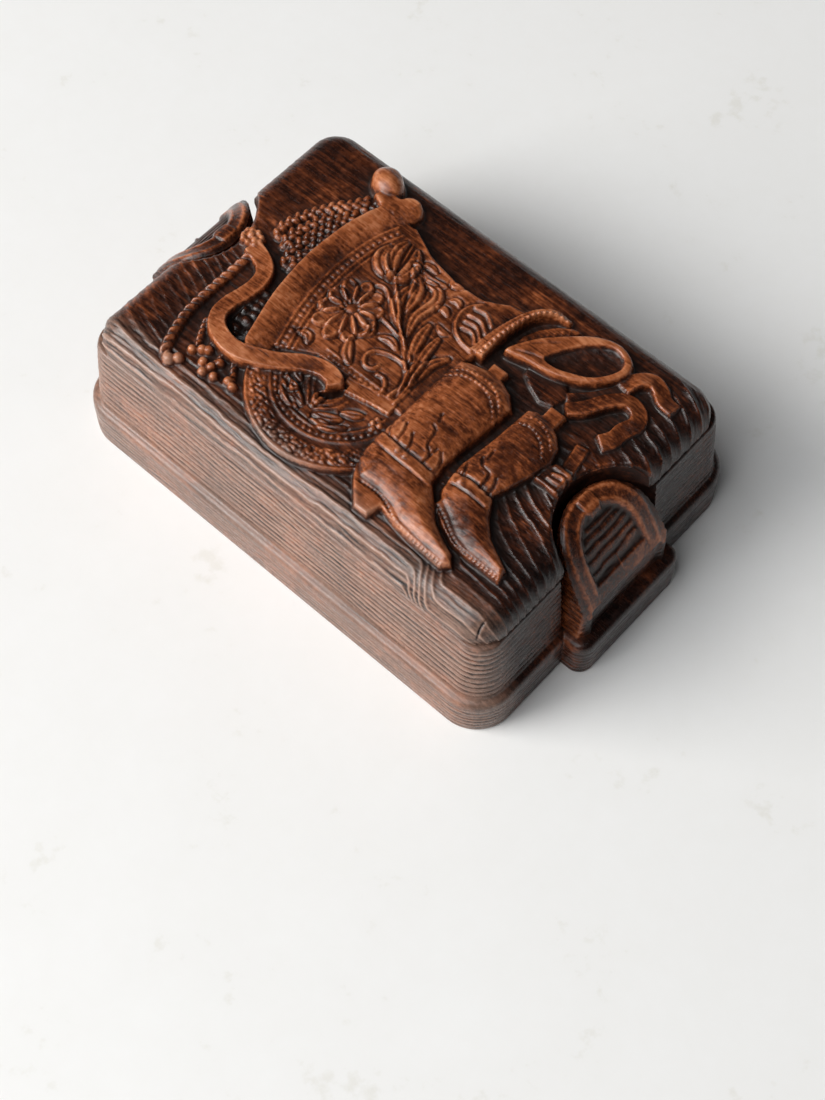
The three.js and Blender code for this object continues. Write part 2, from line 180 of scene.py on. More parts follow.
def blur(field, cells):
    """Gaussian blur of a grid, by a kernel that keeps the edges' level."""
    reach = int(3 * cells) + 1
    kernel = np.exp(-0.5 * (np.arange(-reach, reach + 1) / cells) ** 2)
    kernel /= kernel.sum()
    for axis in (0, 1):
        pad = [(reach, reach) if axis == k else (0, 0) for k in (0, 1)]
        wide = np.pad(field, pad, mode="edge")
        length = field.shape[axis]
        cut = [np.take(wide, range(k, k + length), axis=axis) for k in range(2 * reach + 1)]
        field = sum(w * part for w, part in zip(kernel, cut))
    return field


class Sheet:
    """A grid of cells with a height, and the name of the form on top in each cell."""

    def __init__(self, x0, x1, y0, y1, step):
        self.step = step
        self.x = np.linspace(x0, x1, int(round((x1 - x0) / step)) + 1)
        self.y = np.linspace(y0, y1, int(round((y1 - y0) / step)) + 1)
        self.X, self.Y = np.meshgrid(self.x, self.y, indexing="ij")
        self.height = np.zeros(self.X.shape)
        self.owner = np.zeros(self.X.shape, int)
        self.names = ["ground"]

    def window(self, points, reach):
        low, high = points.min(0) - reach, points.max(0) + reach
        i = slice(*np.searchsorted(self.x, (low[0], high[0])))
        j = slice(*np.searchsorted(self.y, (low[1], high[1])))
        return i, j

    def code(self, name):
        if name not in self.names:
            self.names.append(name)
        return self.names.index(name)

    def put(self, at, height, name):
        """Raises the sheet to height wherever that is higher."""
        up = height > self.height[at]
        self.height[at] = np.where(up, height, self.height[at])
        self.owner[at] = np.where(up, self.code(name), self.owner[at])

    def add(self, at, change, name=None):
        """Adds a change of height, on one form only if it is named."""
        if name is not None:
            change = change * (self.owner[at] == self.code(name))
        self.height[at] += change

    def sink(self, at, level, share, name):
        """Brings the sheet towards a level, by a share of 0 to 1 in each cell."""
        self.height[at] = self.height[at] * (1 - share) + level * share
        self.owner[at] = np.where(share > 0.5, self.code(name), self.owner[at])

    def near(self, line, reach, closed=False):
        """The cells near a line: where they are, their distance from it, side of it and run along it."""
        line = np.asarray(line, float)
        at = self.window(line, reach)
        x, y = self.X[at], self.Y[at]
        ends = np.roll(line, -1, 0) if closed else line[1:]
        starts = line if closed else line[:-1]
        gap, side, run = np.full(x.shape, 1e9), np.ones(x.shape), np.zeros(x.shape)
        passed = 0.0
        for a, b in zip(starts, ends):
            d = b - a
            length = math.hypot(*d)
            if length == 0:
                continue
            t = np.clip(((x - a[0]) * d[0] + (y - a[1]) * d[1]) / length**2, 0, 1)
            px, py = x - a[0] - t * d[0], y - a[1] - t * d[1]
            away = np.hypot(px, py)
            nearer = away < gap
            gap = np.where(nearer, away, gap)
            side = np.where(nearer, np.sign(d[0] * py - d[1] * px), side)
            run = np.where(nearer, passed + t * length, run)
            passed += length
        return at, gap, side, run, passed

    def inside(self, loop, reach=0.5):
        """Distance inside a closed outline, negative outside it."""
        at, gap, _, _, _ = self.near(loop, reach, closed=True)
        x, y = self.X[at], self.Y[at]
        odd = np.zeros(x.shape, bool)
        for a, b in zip(loop, np.roll(loop, -1, 0)):
            crosses = (a[1] > y) != (b[1] > y)
            odd ^= crosses & (x < (b[0] - a[0]) * (y - a[1]) / (b[1] - a[1] + 1e-12) + a[0])
        return at, np.where(odd, gap, -gap)


def dome(depth, wall, rise, width):
    """A height that starts with a wall at the edge and swells by rise over width."""
    t = np.clip(depth / width, 0, 1)
    swell = wall * smooth(depth, -0.25, 0.5) + rise * np.sqrt(1 - (1 - t) ** 2)
    return np.where(depth > -0.25, swell, 0)


# ---- shapes of the relief, in the lid's plane ----
def slab(sheet, name, loop, wall, rise, width):
    """A domed form inside an outline."""
    at, depth = sheet.inside(loop, 1.0)
    sheet.put(at, dome(depth, wall, rise, width), name)


def beyond_ends(sheet, at, line):
    """How far each cell is past the line's own start or end; far behind both for cells along it."""
    past = np.full(sheet.X[at].shape, -1e9)
    for end, inner in ((line[0], line[2]), (line[-1], line[-3])):
        out = (end - inner) / np.hypot(*(end - inner))
        x, y = sheet.X[at] - end[0], sheet.Y[at] - end[1]
        ahead = x * out[0] + y * out[1]
        close = np.hypot(x, y) < 5
        past = np.where(close & (ahead > -1.5), np.maximum(past, ahead), past)
    return past


def strap(sheet, name, points, half_width, height, edge=0.3, taper=0.0, lean=0.0):
    """A flat band along a line, with raised borders.

    height is a number, or a function of the share of its length; lean lifts its left side, seen along it.
    """
    line = curve(points)
    at, gap, side, run, length = sheet.near(line, half_width + 1)
    share = run / length
    top = height(share) if callable(height) else height
    width = half_width * (1 - taper * share)
    depth = np.minimum(width - gap, -beyond_ends(sheet, at, line))
    across = side * gap / width
    level = (top + lean * across) * smooth(depth, -0.15, 0.3)
    level -= edge * smooth(depth, 0.45, 0.9)
    sheet.put(at, np.where(depth > -0.15, level, 0), name)


def twisted(sheet, name, points, radius, base, pitch, lean=0.35):
    """A laid rope: a half-round cord with slanting grooves."""
    line = curve(points)
    at, gap, side, run, _ = sheet.near(line, radius + 0.5)
    body = np.sqrt(np.clip(1 - (gap / radius) ** 2, 0, 1))
    lay = 0.5 + 0.5 * np.cos(2 * np.pi * (run / pitch + side * gap * lean / radius))
    level = base * (body > 0) * (0.5 + 0.5 * lay) + radius * body * (0.3 + 0.7 * lay**0.6)
    sheet.put(at, level, name)


def beads(sheet, name, points, radius, base, spacing=None, flatten=1.0):
    """Round beads along a line, or at the points themselves."""
    spots = np.array(points, float)
    if spacing:
        line = curve(points)
        run = run_along(line)
        spots = points_at(np.arange(spacing / 2, run[-1], spacing), run, line)
    for spot in spots:
        at = sheet.window(spot[None], radius)
        gap = np.hypot(sheet.X[at] - spot[0], sheet.Y[at] - spot[1])
        ball = np.sqrt(np.clip(1 - (gap / radius) ** 2, 0, 1))
        sheet.put(at, np.where(ball > 0, base + radius * flatten * ball, 0), name)


def blob(sheet, name, x, y, angle, reach_x, reach_y, base, rise):
    """A rounded grain, longer along its angle."""
    at = sheet.window(np.array([[x, y]]), max(reach_x, reach_y))
    u, v = sheet.X[at] - x, sheet.Y[at] - y
    along = (u * math.cos(angle) + v * math.sin(angle)) / reach_x
    across = (v * math.cos(angle) - u * math.sin(angle)) / reach_y
    ball = np.sqrt(np.clip(1 - along**2 - across**2, 0, 1))
    sheet.put(at, np.where(ball > 0, base + rise * ball, 0), name)


def plait(sheet, name, points, pitch, base, seed):
    """A plaited cord: slanting grains that alternate from side to side."""
    line = curve(points)
    run = run_along(line)
    wobble = np.random.default_rng(seed)
    for k, mark in enumerate(np.arange(pitch / 2, run[-1], pitch / 2)):
        x, y = (np.interp(mark, run, line[:, i]) for i in (0, 1))
        ahead = [np.interp(mark + 0.5, run, line[:, i]) for i in (0, 1)]
        turn = math.atan2(ahead[1] - y, ahead[0] - x) if mark + 0.5 < run[-1] else turn
        side = 1 if k % 2 else -1
        shift = 0.85 * side + wobble.uniform(-0.15, 0.15)
        size = wobble.uniform(0.85, 1.1)
        blob(sheet, name, x - shift * math.sin(turn), y + shift * math.cos(turn),
             turn - side * 0.75 + wobble.uniform(-0.15, 0.15), 1.75 * size, 1.15 * size, base, 1.55 * size)


# ---- tooling on a form that is already there ----
def ridge(sheet, name, points, half_width, rise, closed=False):
    """A soft raised line on a form."""
    line = curve(points, closed)
    at, gap, _, _, _ = sheet.near(line, 3 * half_width, closed)
    sheet.add(at, rise * np.exp(-((gap / half_width) ** 2)), name)


def groove(sheet, name, points, half_width=0.3, depth=0.35, closed=False):
    """A soft cut line on a form."""
    ridge(sheet, name, points, half_width, -depth, closed)


def bordered(sheet, name, points, half_width, rise, offset, cut_width, cut_depth):
    """A ridge with a groove at an offset on each side."""
    ridge(sheet, name, points, half_width, rise)
    for side in (offset, -offset):
        groove(sheet, name, beside(points, side), cut_width, cut_depth)


def stitches(sheet, name, points, spacing, half_width, rise, share=0.6):
    """Short raised dashes along a line."""
    line = curve(points)
    at, gap, _, run, _ = sheet.near(line, 3 * half_width)
    on = smooth(np.cos(2 * np.pi * run / spacing), math.cos(math.pi * share) - 0.2,
                math.cos(math.pi * share) + 0.3)
    sheet.add(at, rise * on * np.exp(-((gap / half_width) ** 4)), name)


def studs(sheet, name, points, spacing, radius, rise):
    """Evenly spaced round studs along a line."""
    line = curve(points)
    at, gap, _, run, length = sheet.near(line, radius + 0.3)
    count = max(1, round(length / spacing))
    along = (run / length * count) % 1 - 0.5
    away = np.hypot(gap, along * length / count)
    sheet.add(at, rise * np.sqrt(np.clip(1 - (away / radius) ** 2, 0, 1)), name)


def leaf(sheet, name, points, half_width, rise=0.75, vein=True):
    """A pointed leaf along a line: raised edges, a sunken channel, and a cut round it."""
    line = curve(points)
    at, gap, _, run, length = sheet.near(line, half_width + 1.2)
    share = run / length
    width = 1.25 * half_width * np.sin(np.pi * (0.12 + 0.86 * share)) ** 0.7
    inside = width - gap
    form = 1.15 * rise * np.sqrt(np.clip(inside / 0.9, 0, 1))
    form -= 0.6 * np.exp(-(((inside + 0.35) / 0.35) ** 2)) * (share < 0.995)
    if vein:
        form -= 0.75 * rise * np.exp(-((gap / 0.42) ** 2)) * (inside > 0)
    sheet.add(at, form, name)


def petal(sheet, name, x, y, angle, start, length, half_width, rise=0.9):
    """A long petal that points away from a flower's middle, with a raised rim and a sunken heart."""
    direction = np.array([math.cos(angle), math.sin(angle)])
    across = np.array([-direction[1], direction[0]])
    at = sheet.window(np.array([[x, y]]), start + length + 1)
    u = (sheet.X[at] - x) * direction[0] + (sheet.Y[at] - y) * direction[1]
    v = (sheet.X[at] - x) * across[0] + (sheet.Y[at] - y) * across[1]
    share = (u - start) / length
    span = np.clip(share, 0, 1)
    width = half_width * np.sqrt(np.clip(1 - (2 * span**1.5 - 1) ** 2, 0, 1))
    inside = width - np.abs(v)
    on = (share > 0) & (share < 1) & (inside > -0.7)
    body = 1.1 * np.sqrt(np.clip(inside / 0.9, 0, 1))
    cut = 0.6 * np.exp(-(((inside + 0.3) / 0.3) ** 2))
    heart = 0.5 * smooth(inside, 1.0, 2.2) * (inside > 0)
    sheet.add(at, np.where(on, rise * (body * (inside > 0) - heart) - cut, 0), name)


def roll(sheet, name, points, half_width, base, rise):
    """A half-round band along a line."""
    at, gap, _, _, _ = sheet.near(curve(points), half_width + 0.5)
    body = np.sqrt(np.clip(1 - (gap / half_width) ** 2, 0, 1))
    sheet.put(at, np.where(body > 0, base * smooth(body, 0, 0.35) + rise * body, 0), name)


def beside(points, offset):
    """The line at a distance to the right of the points' own, seen along it."""
    line = curve(points)
    along = np.gradient(line, axis=0)
    along /= np.hypot(*along.T)[:, None]
    return (line + offset * np.stack([along[:, 1], -along[:, 0]], 1))[::5]


def shifted(points, dx, dy):
    """The points, moved."""
    return [(x + dx, y + dy) for x, y in points]


# ---- the lid's relief ----
SWELL = [
    (-36.6, -26.5), (-38, -22), (-41.4, -10), (-43.3, 2), (-43.8, 12), (-42.8, 24), (-40.3, 34),
    (-36.2, 42.5),
]
FIELD = [
    (-35, -26), (-40, -10), (-42, 5), (-41, 25), (-37, 39), (-29, 39), (-19, 34.5), (-6, 32), (5, 32.6),
    (12, 37), (18, 38), (17, 26), (16.5, 15), (14, -2), (14, -17), (0, -17.5), (-20, -18),
]
CANTLE = [(16.3, 15), (16.8, 24), (18.2, 32), (20.6, 38.6), (25, 43.2), (30.5, 44.9)]
SKIRT_CENTRE, SKIRT_RADIUS = (-7, -19.5), 31.3
STIRRUP_STRAP = [
    (-65, -0.5), (-58.5, -2.5), (-54.5, -5.5), (-53, -10.5), (-53.5, -16.5), (-54.5, -21.5), (-54, -26.5),
    (-50.5, -31), (-44.5, -33.5), (-38.5, -33.5), (-32.5, -31), (-26.5, -27.5), (-20.5, -23), (-14.5, -21),
    (-9.5, -21.5), (-7, -23.5),
]
ROPE = [(-63, -4), (-63, -13), (-63, -23), (-62.5, -32), (-60.5, -40), (-57.5, -47), (-54, -49)]
LARIAT = [
    [(-48.6, 38.4), (-52.6, 32.9), (-56.6, 27.4), (-59.6, 22.4), (-62.1, 16.4), (-63.1, 11.4), (-61.6, 8.4)],
    [(-45.6, 39.4), (-49.1, 33.4), (-52.6, 27.9), (-55.1, 22.4), (-57.1, 16.9), (-58.6, 11.4), (-57.8, 7)],
    [(-47.6, 31.4), (-50.1, 25.4), (-52.1, 19.4), (-53.6, 13.4), (-54.6, 7.4), (-52.6, 1.9)],
    [(-47.8, 22.8), (-49.3, 15.8), (-50.3, 8.8), (-50.3, 1.8)],
]
LOOP = [
    (21.5, 22.2), (25.1, 30.6), (31.4, 38.1), (39.6, 45.3), (47.5, 48), (54.2, 45.8), (56.4, 41.4),
    (54.8, 36.6), (51.1, 31.5), (44.2, 27), (37.2, 24.4), (28.9, 23.2),
]
POCKET = [
    (33, 28.4), (36.4, 35.2), (41.4, 42), (47, 45.4), (51.8, 44), (53.4, 40.8), (51.6, 36.2), (48, 32),
    (42.5, 29.2), (37, 27.4),
]
UPPER_RIBBON = [(57.4, 36.5), (59, 41.8), (62.8, 45), (66.6, 44.2), (70, 42), (74.6, 41.4)]
LOWER_RIBBON = [
    (49, 19), (53.4, 23.4), (57, 29.6), (61.5, 34), (66.4, 33.4), (68.6, 29.8), (67, 25), (66.6, 20.8),
    (64.4, 16.8),
]
NEAR_SOLE = [
    (17.5, -36), (14.5, -38), (17.5, -42.5), (24.3, -49.5), (29.5, -49.5), (31, -44.5), (38, -46.2),
    (46, -47.2), (57, -47.8), (59.5, -45), (57, -42), (46, -41), (34, -36),
]
NEAR_UPPER = [
    (14, 10.5), (17, 12), (22, 13.5), (29, 13.5), (34, 11.5), (38, 7.5), (37.5, -2), (36.5, -12), (35.8, -21),
    (37, -28), (42, -32.5), (47, -37.5), (52, -40), (57, -42), (58.6, -44.6), (57, -46.2), (46, -45.4),
    (38, -44.3), (32, -41.8), (26, -40.6), (19, -41), (14.8, -37), (13.5, -32), (13.5, -26), (13.6, -16),
    (13.3, -4),
]
FAR_SOLE = [
    (42, -30), (41.5, -33), (48, -37), (54, -39.6), (60, -40.2), (73, -40), (72.5, -35.5), (60, -34),
    (50, -29),
]
FAR_UPPER = [
    (41, 11), (44, 12.5), (49, 12.2), (54, 10), (57.5, 6.5), (59, 1), (57.5, -6), (55.5, -13), (53.5, -19),
    (57.5, -25.5), (62.5, -30.5), (68.5, -33.5), (72.5, -35.5), (72.4, -38.6), (60, -38.6), (54, -37.3),
    (48, -33.6), (42.5, -31), (40, -28), (38.5, -18), (40, -5),
]


def carve_ground(sheet):
    """The wood's wavy carved lines, and its fine grain."""
    x, y = sheet.X, sheet.Y
    left = np.clip(-62 - x, 0, 40) * smooth(y, -56, -38) * smooth(-y, -32, 6)
    right = np.clip(x - 48, 0, 60) * smooth(y, -54, -26)
    run = y - 0.4 * left + 0.4 * right
    run = run + 1.5 * noise(x / 2.6, y, 9, 11) + 0.5 * noise(x, y * 2.2, 5, 12)
    pitch = 3.7 + 1.3 * smooth(x, 50, 62)
    crest = (1 - np.abs(np.sin(np.pi * run / pitch))) ** 2.2
    fine = (1 - np.abs(np.sin(np.pi * (run + 0.4 * noise(x / 3, y, 4, 13)) / 1.25))) ** 2
    front = smooth(-y, 36, 46)
    sides = np.maximum(0.6 * smooth(-x, 58, 66) * smooth(-y, -26, 4),
                       1.3 * smooth(x, 50, 60) * np.maximum(smooth(-y, -26, 4), smooth(x, 66, 74)))
    strength = (0.15 + 0.85 * np.maximum(front, sides)) * (1 - smooth(y, 50, 57))
    patchy = 0.55 + 0.6 * smooth(noise(x / 2, y, 12, 14), -0.6, 0.7)
    streaks = noise(x / 9, y, 0.9, 15)
    sheet.height += strength * patchy * (0.7 * crest + 0.22 * fine) + 0.1 * streaks


def skirt(sheet):
    """The round, pebbled skirt below the saddle, with its bands and leaves."""
    cx, cy = SKIRT_CENTRE
    rim = circle(cx, cy, SKIRT_RADIUS, SKIRT_RADIUS, 90)
    at, depth = sheet.inside(rim, 1)
    below = sheet.Y[at] < -12
    sheet.put(at, np.where(below, dome(depth, 2.0, 0.25, 6), 0), "skirt")
    edge = np.exp(-((depth - 0.8) / 0.7) ** 2) * 0.45
    warp = 0.8 * noise(sheet.X[at], sheet.Y[at], 3, 22)
    grain = pebbles(sheet.X[at] + warp, sheet.Y[at] * 1.25 - warp, 1.9, 21)
    grain = grain * smooth(depth, 1.6, 2.2) * smooth(7.6 - depth, 0, 0.6)
    sheet.add(at, edge + 0.75 * grain, "skirt")
    arc = lambda radius, a0, a1: [
        (-8 + radius * math.cos(a), -18 + radius * math.sin(a)) for a in np.linspace(a0, a1, 16)]
    for radius, rise in ((23.2, 0.55), (19.6, 0.6)):
        ridge(sheet, "skirt", arc(radius, -2.75, -0.15), 0.5, rise)
    groove(sheet, "skirt", arc(18.7, -2.7, -0.2), 0.35, 0.55)
    studs(sheet, "skirt", arc(21.4, -2.7, -0.2), 2.3, 0.85, 0.6)
    # the shield-shaped panel below the ribbon, with its leaves
    for offset, rise in ((0, 0.6), (2.2, 0.5)):
        ridge(sheet, "skirt", [(-17 + offset, -24), (-15 + offset, -27), (-9, -32.5 + offset),
                               (-3 - offset, -28), (-1.5 - offset, -24)], 0.5, rise)
    for side in (-1, 1):
        leaf(sheet, "skirt", [(-9 + 3 * side, -33.5), (-9 + 7 * side, -32), (-9 + 11 * side, -29)], 1.5)
        leaf(sheet, "skirt", [(-9 + 3.5 * side, -35.5), (-9 + 9 * side, -34.5), (-9 + 14 * side, -30.5)], 1.2)
        leaf(sheet, "skirt", [(-9 + 9 * side, -27.5), (-9 + 12 * side, -26), (-9 + 15 * side, -24)], 1.3)
    leaf(sheet, "skirt", [(-9, -31.5), (-9.5, -28), (-9, -25)], 1.5)
    leaf(sheet, "skirt", [(-22, -29.5), (-19, -31), (-15.5, -30)], 1.6)


def saddle(sheet):
    """The saddle's field, its swell, and the borders of both."""
    slab(sheet, "field", FIELD, 3.0, 0.7, 14)
    at, gap, side, _, _ = sheet.near(curve(SWELL), 6)
    across = side * gap / 5.0
    crest = 4.55 + 0.75 * across - 0.55 * across**2
    edge = np.where(side > 0, smooth(5.0 - gap, -0.15, 0.9) ** 0.6, smooth(5.0 - gap, -0.15, 0.5))
    sheet.put(at, np.where(gap < 5.1, crest * edge, 0), "swell")
    leather = noise(sheet.X[at], sheet.Y[at], 1.2, 31) * 0.12 + noise(sheet.X[at], sheet.Y[at], 6, 32) * 0.15
    sheet.add(at, leather, "swell")
    # wrinkled hide between the swell and the ribbon
    hide = [(-51, -10), (-46.5, -8), (-41, -27), (-46, -30), (-50.5, -26), (-51.5, -18)]
    at, depth = sheet.inside(np.array(hide, float), 1)
    grain = pebbles(sheet.X[at] * 0.8 + 3, sheet.Y[at], 3.0, 33)
    sheet.put(at, np.where(depth > 0, (0.5 + 1.3 * grain) * smooth(depth, 0, 1.5), 0), "hide")
    for offset, rise in ((5.4, 0.7), (9.1, 0.55), (10.9, 0.5)):
        ridge(sheet, "field", beside(SWELL, offset), 0.55, rise)
    groove(sheet, "field", beside(SWELL, 10), 0.3, 0.35)
    studs(sheet, "field", beside(SWELL, 7.3), 2.2, 0.95, 0.6)
    # the border at the field's lower edge
    for y, rise in ((-14.1, 0.6), (-17.3, 0.6)):
        ridge(sheet, "field", [(-19, y), (-8, y), (5, y)], 0.45, rise)
    studs(sheet, "field", [(-18, -15.8), (-8, -15.8), (4, -15.8)], 2.2, 0.85, 0.6)
    # the rim of the field's upper edge
    rim = [(-30, 40), (-24, 37.5), (-18, 34.5), (-8, 33), (2, 32.8), (8, 35)]
    ridge(sheet, "field", shifted(rim, 0.6, -1.6), 0.6, 0.45)


def flower(sheet):
    """The tooled flowers, stems, leaves and scrolls of the saddle's field."""
    dx, dy = 1.2, -1.4                   # the tooling's own origin on the field
    on = lambda points: shifted(points, dx, dy)
    cx, cy = -25 + dx, 3 + dy
    at, depth = sheet.inside(circle(cx, cy, 12.5, 13), 1)
    sheet.add(at, -0.35 * smooth(depth, -0.5, 2), "field")
    for degrees, reach in ((-2, 10.5), (33, 10.5), (67, 11), (100, 11.5), (135, 11.5), (172, 10),
                           (210, 10.5), (244, 13), (276, 13.5), (307, 12.5), (335, 11.5)):
        petal(sheet, "field", cx, cy, math.radians(degrees), 1.8, reach - 1.8, 2.9, 1.1)
    beads(sheet, "field", [(cx + 0.2, cy)], 2.3, 2.7, flatten=0.75)
    ring = circle(cx, cy, 2.9, 2.9, 10)
    beads(sheet, "field", ring, 0.75, 3.3)
    # tulip
    for line, width in (([(-24, 20), (-28.5, 21), (-32, 25), (-32, 30)], 2.0),
                        ([(-24, 20.5), (-27.5, 25), (-29, 30), (-28.5, 35)], 2.1),
                        ([(-24, 20), (-21, 23), (-21.5, 29), (-25, 34.5)], 2.2)):
        leaf(sheet, "field", on(line), width, 1.2)
    for line in ([(-24, 20), (-28, 21.2), (-30.5, 23.8)],
                 [(-24, 20), (-21.3, 21.8), (-20.6, 26), (-22.5, 31)],
                 [(-24.5, 25), (-25.5, 30), (-27, 34.5)]):
        ridge(sheet, "field", on(line), 0.45, 0.8)
    # stems
    for line in ([(-23, 21), (-16, 15), (-10, 9), (-4, 4), (3, -2.5)],
                 [(-25, 15.5), (-22, 16), (-17, 13), (-10, 8.3), (-4, 5)],
                 [(-15.5, 7), (-10, 6), (-4, 4.5), (2, 0.5)]):
        bordered(sheet, "field", on(line), 0.55, 0.9, 0.95, 0.25, 0.4)
    # leaves
    for line, width in (
        ([(-14, 26.5), (-9, 26), (-6.8, 22), (-7.6, 14), (-4.6, 6)], 1.7),
        ([(-16.5, 22), (-16, 15), (-12, 10), (-8, 7)], 1.8),
        ([(-19.5, 27), (-15, 23.5), (-12.5, 18.5), (-11.5, 13)], 1.9),
        ([(-20, 31.3), (-17, 32), (-13.5, 31.3)], 0.9),
        ([(-21, 29), (-14, 28), (-7.5, 30)], 1.1),
        ([(3, 12.5), (3.6, 6), (5.6, -2), (8, -12)], 1.6),
        ([(10, 9), (7.4, 3), (8, -7)], 1.5),
        ([(-2.5, 14.5), (-1.5, 9), (0.5, 4), (3, 0)], 1.6),
        ([(-11, 1.4), (-7.5, 2.5), (-3.5, 1)], 1.2),
        ([(-16, 3.5), (-14.5, 0.5), (-16.5, -2)], 1.1),
        ([(-5, 21.6), (-3, 22.4), (0, 21)], 1.0),
        ([(-4, 26.5), (-2, 27.5), (0.5, 26)], 1.0),
        ([(-0.5, 16.5), (2, 15.6), (4.6, 16.5)], 0.9),
        ([(-12, -12), (-15, -9.5), (-17.5, -5)], 1.5),
        ([(-31, -14), (-28, -13.2), (-26, -16)], 1.2),
        ([(-4.5, 33), (-7, 31.5), (-9, 33)], 0.9),
    ):
        leaf(sheet, "field", on(line), width, 0.85)
    # scrolls
    for line in ([(5.5, -13), (6, -7), (2.5, -2), (-3, -1.4), (-8.5, -3.6), (-9.6, -7), (-7.5, -9.6),
                  (-4.8, -9), (-4, -6.8)],
                 [(3, -14.5), (2.4, -11.5), (0, -9.3), (-2.2, -9.6)],
                 [(8.5, -14), (8.6, -8), (7, -3)]):
        bordered(sheet, "field", on(line), 0.7, 0.9, 1.05, 0.28, 0.5)
    # shell
    shell_edge = [(5, 32), (2.2, 28.5), (1.8, 24), (4, 19.5), (8, 17), (13.2, 16.3)]
    ridge(sheet, "field", on(shell_edge), 0.6, 1.0)
    groove(sheet, "field", beside(on(shell_edge), 1.1), 0.35, 0.5)
    for x0, y0, x1, y1 in ((4, 29.8, 12, 27.5), (4, 26.6, 12.6, 24), (4.6, 24, 13, 21),
                           (5.4, 21.6, 13.2, 18.5)):
        ridge(sheet, "field", on([(x0, y0 - 0.4), ((x0 + x1) / 2, y0 + 0.1), (x1, y1)]), 0.6, 0.85)
        groove(sheet, "field", on([(x0, y0 - 1.7), ((x0 + x1) / 2, y0 - 1.2), (x1, y1 - 1.3)]), 0.35, 0.4)
    # the ground between them is punched
    at, depth = sheet.inside(FIELD, 0.5)
    punched = pebbles(sheet.X[at], sheet.Y[at], 1.1, 41)
    low = smooth(3.75 - sheet.height[at], 0, 0.25)
    sheet.add(at, 0.14 * punched * low * smooth(depth, 1, 3), "field")


def cantle(sheet):
    """The raised rim at the saddle's end, with the pleated leather behind it."""
    lift = lambda t: 4.7 + 0.9 * np.sin(np.pi * np.clip(t, 0, 1)) - 2.4 * smooth(t, 0.8, 1)
    strap(sheet, "cantle", CANTLE, 2.7, lift, edge=0.2, taper=0.62, lean=-0.3)
    stitches(sheet, "cantle", beside(CANTLE, 0.8), 1.9, 0.7, 0.7, 0.6)
    groove(sheet, "cantle", beside(CANTLE, -0.4), 0.28, 0.45)
    groove(sheet, "cantle", beside(CANTLE, -1.5), 0.22, 0.3)
    fan = [(22, 25.5), (22, 31), (24, 36), (28, 41), (32, 43.8), (35.4, 44.6), (34, 40), (31.6, 35),
           (28.6, 30), (25, 26.5)]
    slab(sheet, "fan", fan, 1.9, 0.6, 3)
    for share in np.linspace(0.1, 0.9, 7):
        edge_x, edge_y = 23 + 10 * share, 29 + 14.5 * share
        pleat = [(edge_x, edge_y), (edge_x + 1.2, edge_y - 1.8), (edge_x + 3.4, edge_y - 2.6)]
        ridge(sheet, "fan", pleat, 0.35, 0.4)
    fold = [(30, 24), (37, 27), (44, 27), (47, 23), (45.5, 17.5), (41, 16), (35, 18.5), (31, 21)]
    slab(sheet, "fold", fold, 0.7, 0.5, 3)


def horn(sheet):
    """The saddle's horn, the highest form on the lid."""
    strap(sheet, "horn", [(-47.5, 42.5), (-43, 40.5), (-38.5, 41)], 3.4, 4.6, edge=-0.2)
    turn = math.radians(-20)
    at = sheet.window(np.array([[-48.5, 46.0]]), 9)
    u, v = sheet.X[at] + 48.5, sheet.Y[at] - 46.0
    u, v = u * math.cos(turn) + v * math.sin(turn), v * math.cos(turn) - u * math.sin(turn)
    rim = np.clip(1 - (u / 7.3) ** 2 - (v / 5.4) ** 2, 0, 1)
    sheet.put(at, np.where(rim > 0, 2.6 * smooth(rim, 0, 0.12), 0), "horn")
    ball = np.clip(1 - (u / 6.7) ** 2 - (v / 4.9) ** 2, 0, 1)
    sheet.put(at, np.where(ball > 0, 2.9 + (RELIEF_TOP - 2.95) * np.sqrt(ball), 0), "horn")
    blob(sheet, "swell", -36.2, 44.2, 0.4, 3.6, 2.6, 2.6, 2.0)


def ropes(sheet):
    """The plaited lariat, the laid ropes and the beads at their ends."""
    for k, line in enumerate(LARIAT):
        roll(sheet, "lariat", line, 1.8, 0.7, 0.6)
        plait(sheet, "lariat", line, 2.9, 1.2, 34 + k)
    twisted(sheet, "rope", ROPE, 1.75, 1.0, 3.3)
    beads(sheet, "bead", [(-54.3, -48.6), (-52.2, -46.6)], 1.9, 0.9)
    for line in ([(-56, -30.5), (-54, -34.5), (-51.5, -38.5)], [(-49.5, -34), (-47.5, -37), (-47, -38.5)],
                 [(-43.5, -35.5), (-42.5, -38), (-42.5, -42)], [(-38, -36.5), (-35, -40), (-33.5, -42.5)]):
        twisted(sheet, "rope", line, 1.05, 0.8, 2.2)
    beads(sheet, "bead", [(-49, -39.3), (-51.4, -41.4), (-47.2, -38.2), (-41.2, -39.4), (-43.2, -45.2),
                          (-39.3, -44.2), (-42.3, -42.2), (-34.8, -42.4), (-32.2, -43.2), (-45.6, -42.4)],
          1.6, 0.9)
    # the small buckle where the ribbon starts
    slab(sheet, "bead", circle(-67, 1.6, 4.2, 3.2, 24), 2.0, 0.6, 2)
    beads(sheet, "bead", circle(-67, 1.6, 3.5, 2.6, 9), 1.15, 2.3)
    beads(sheet, "bead", [(-67.6, 2.0), (-65.2, 1.0)], 1.3, 2.5)


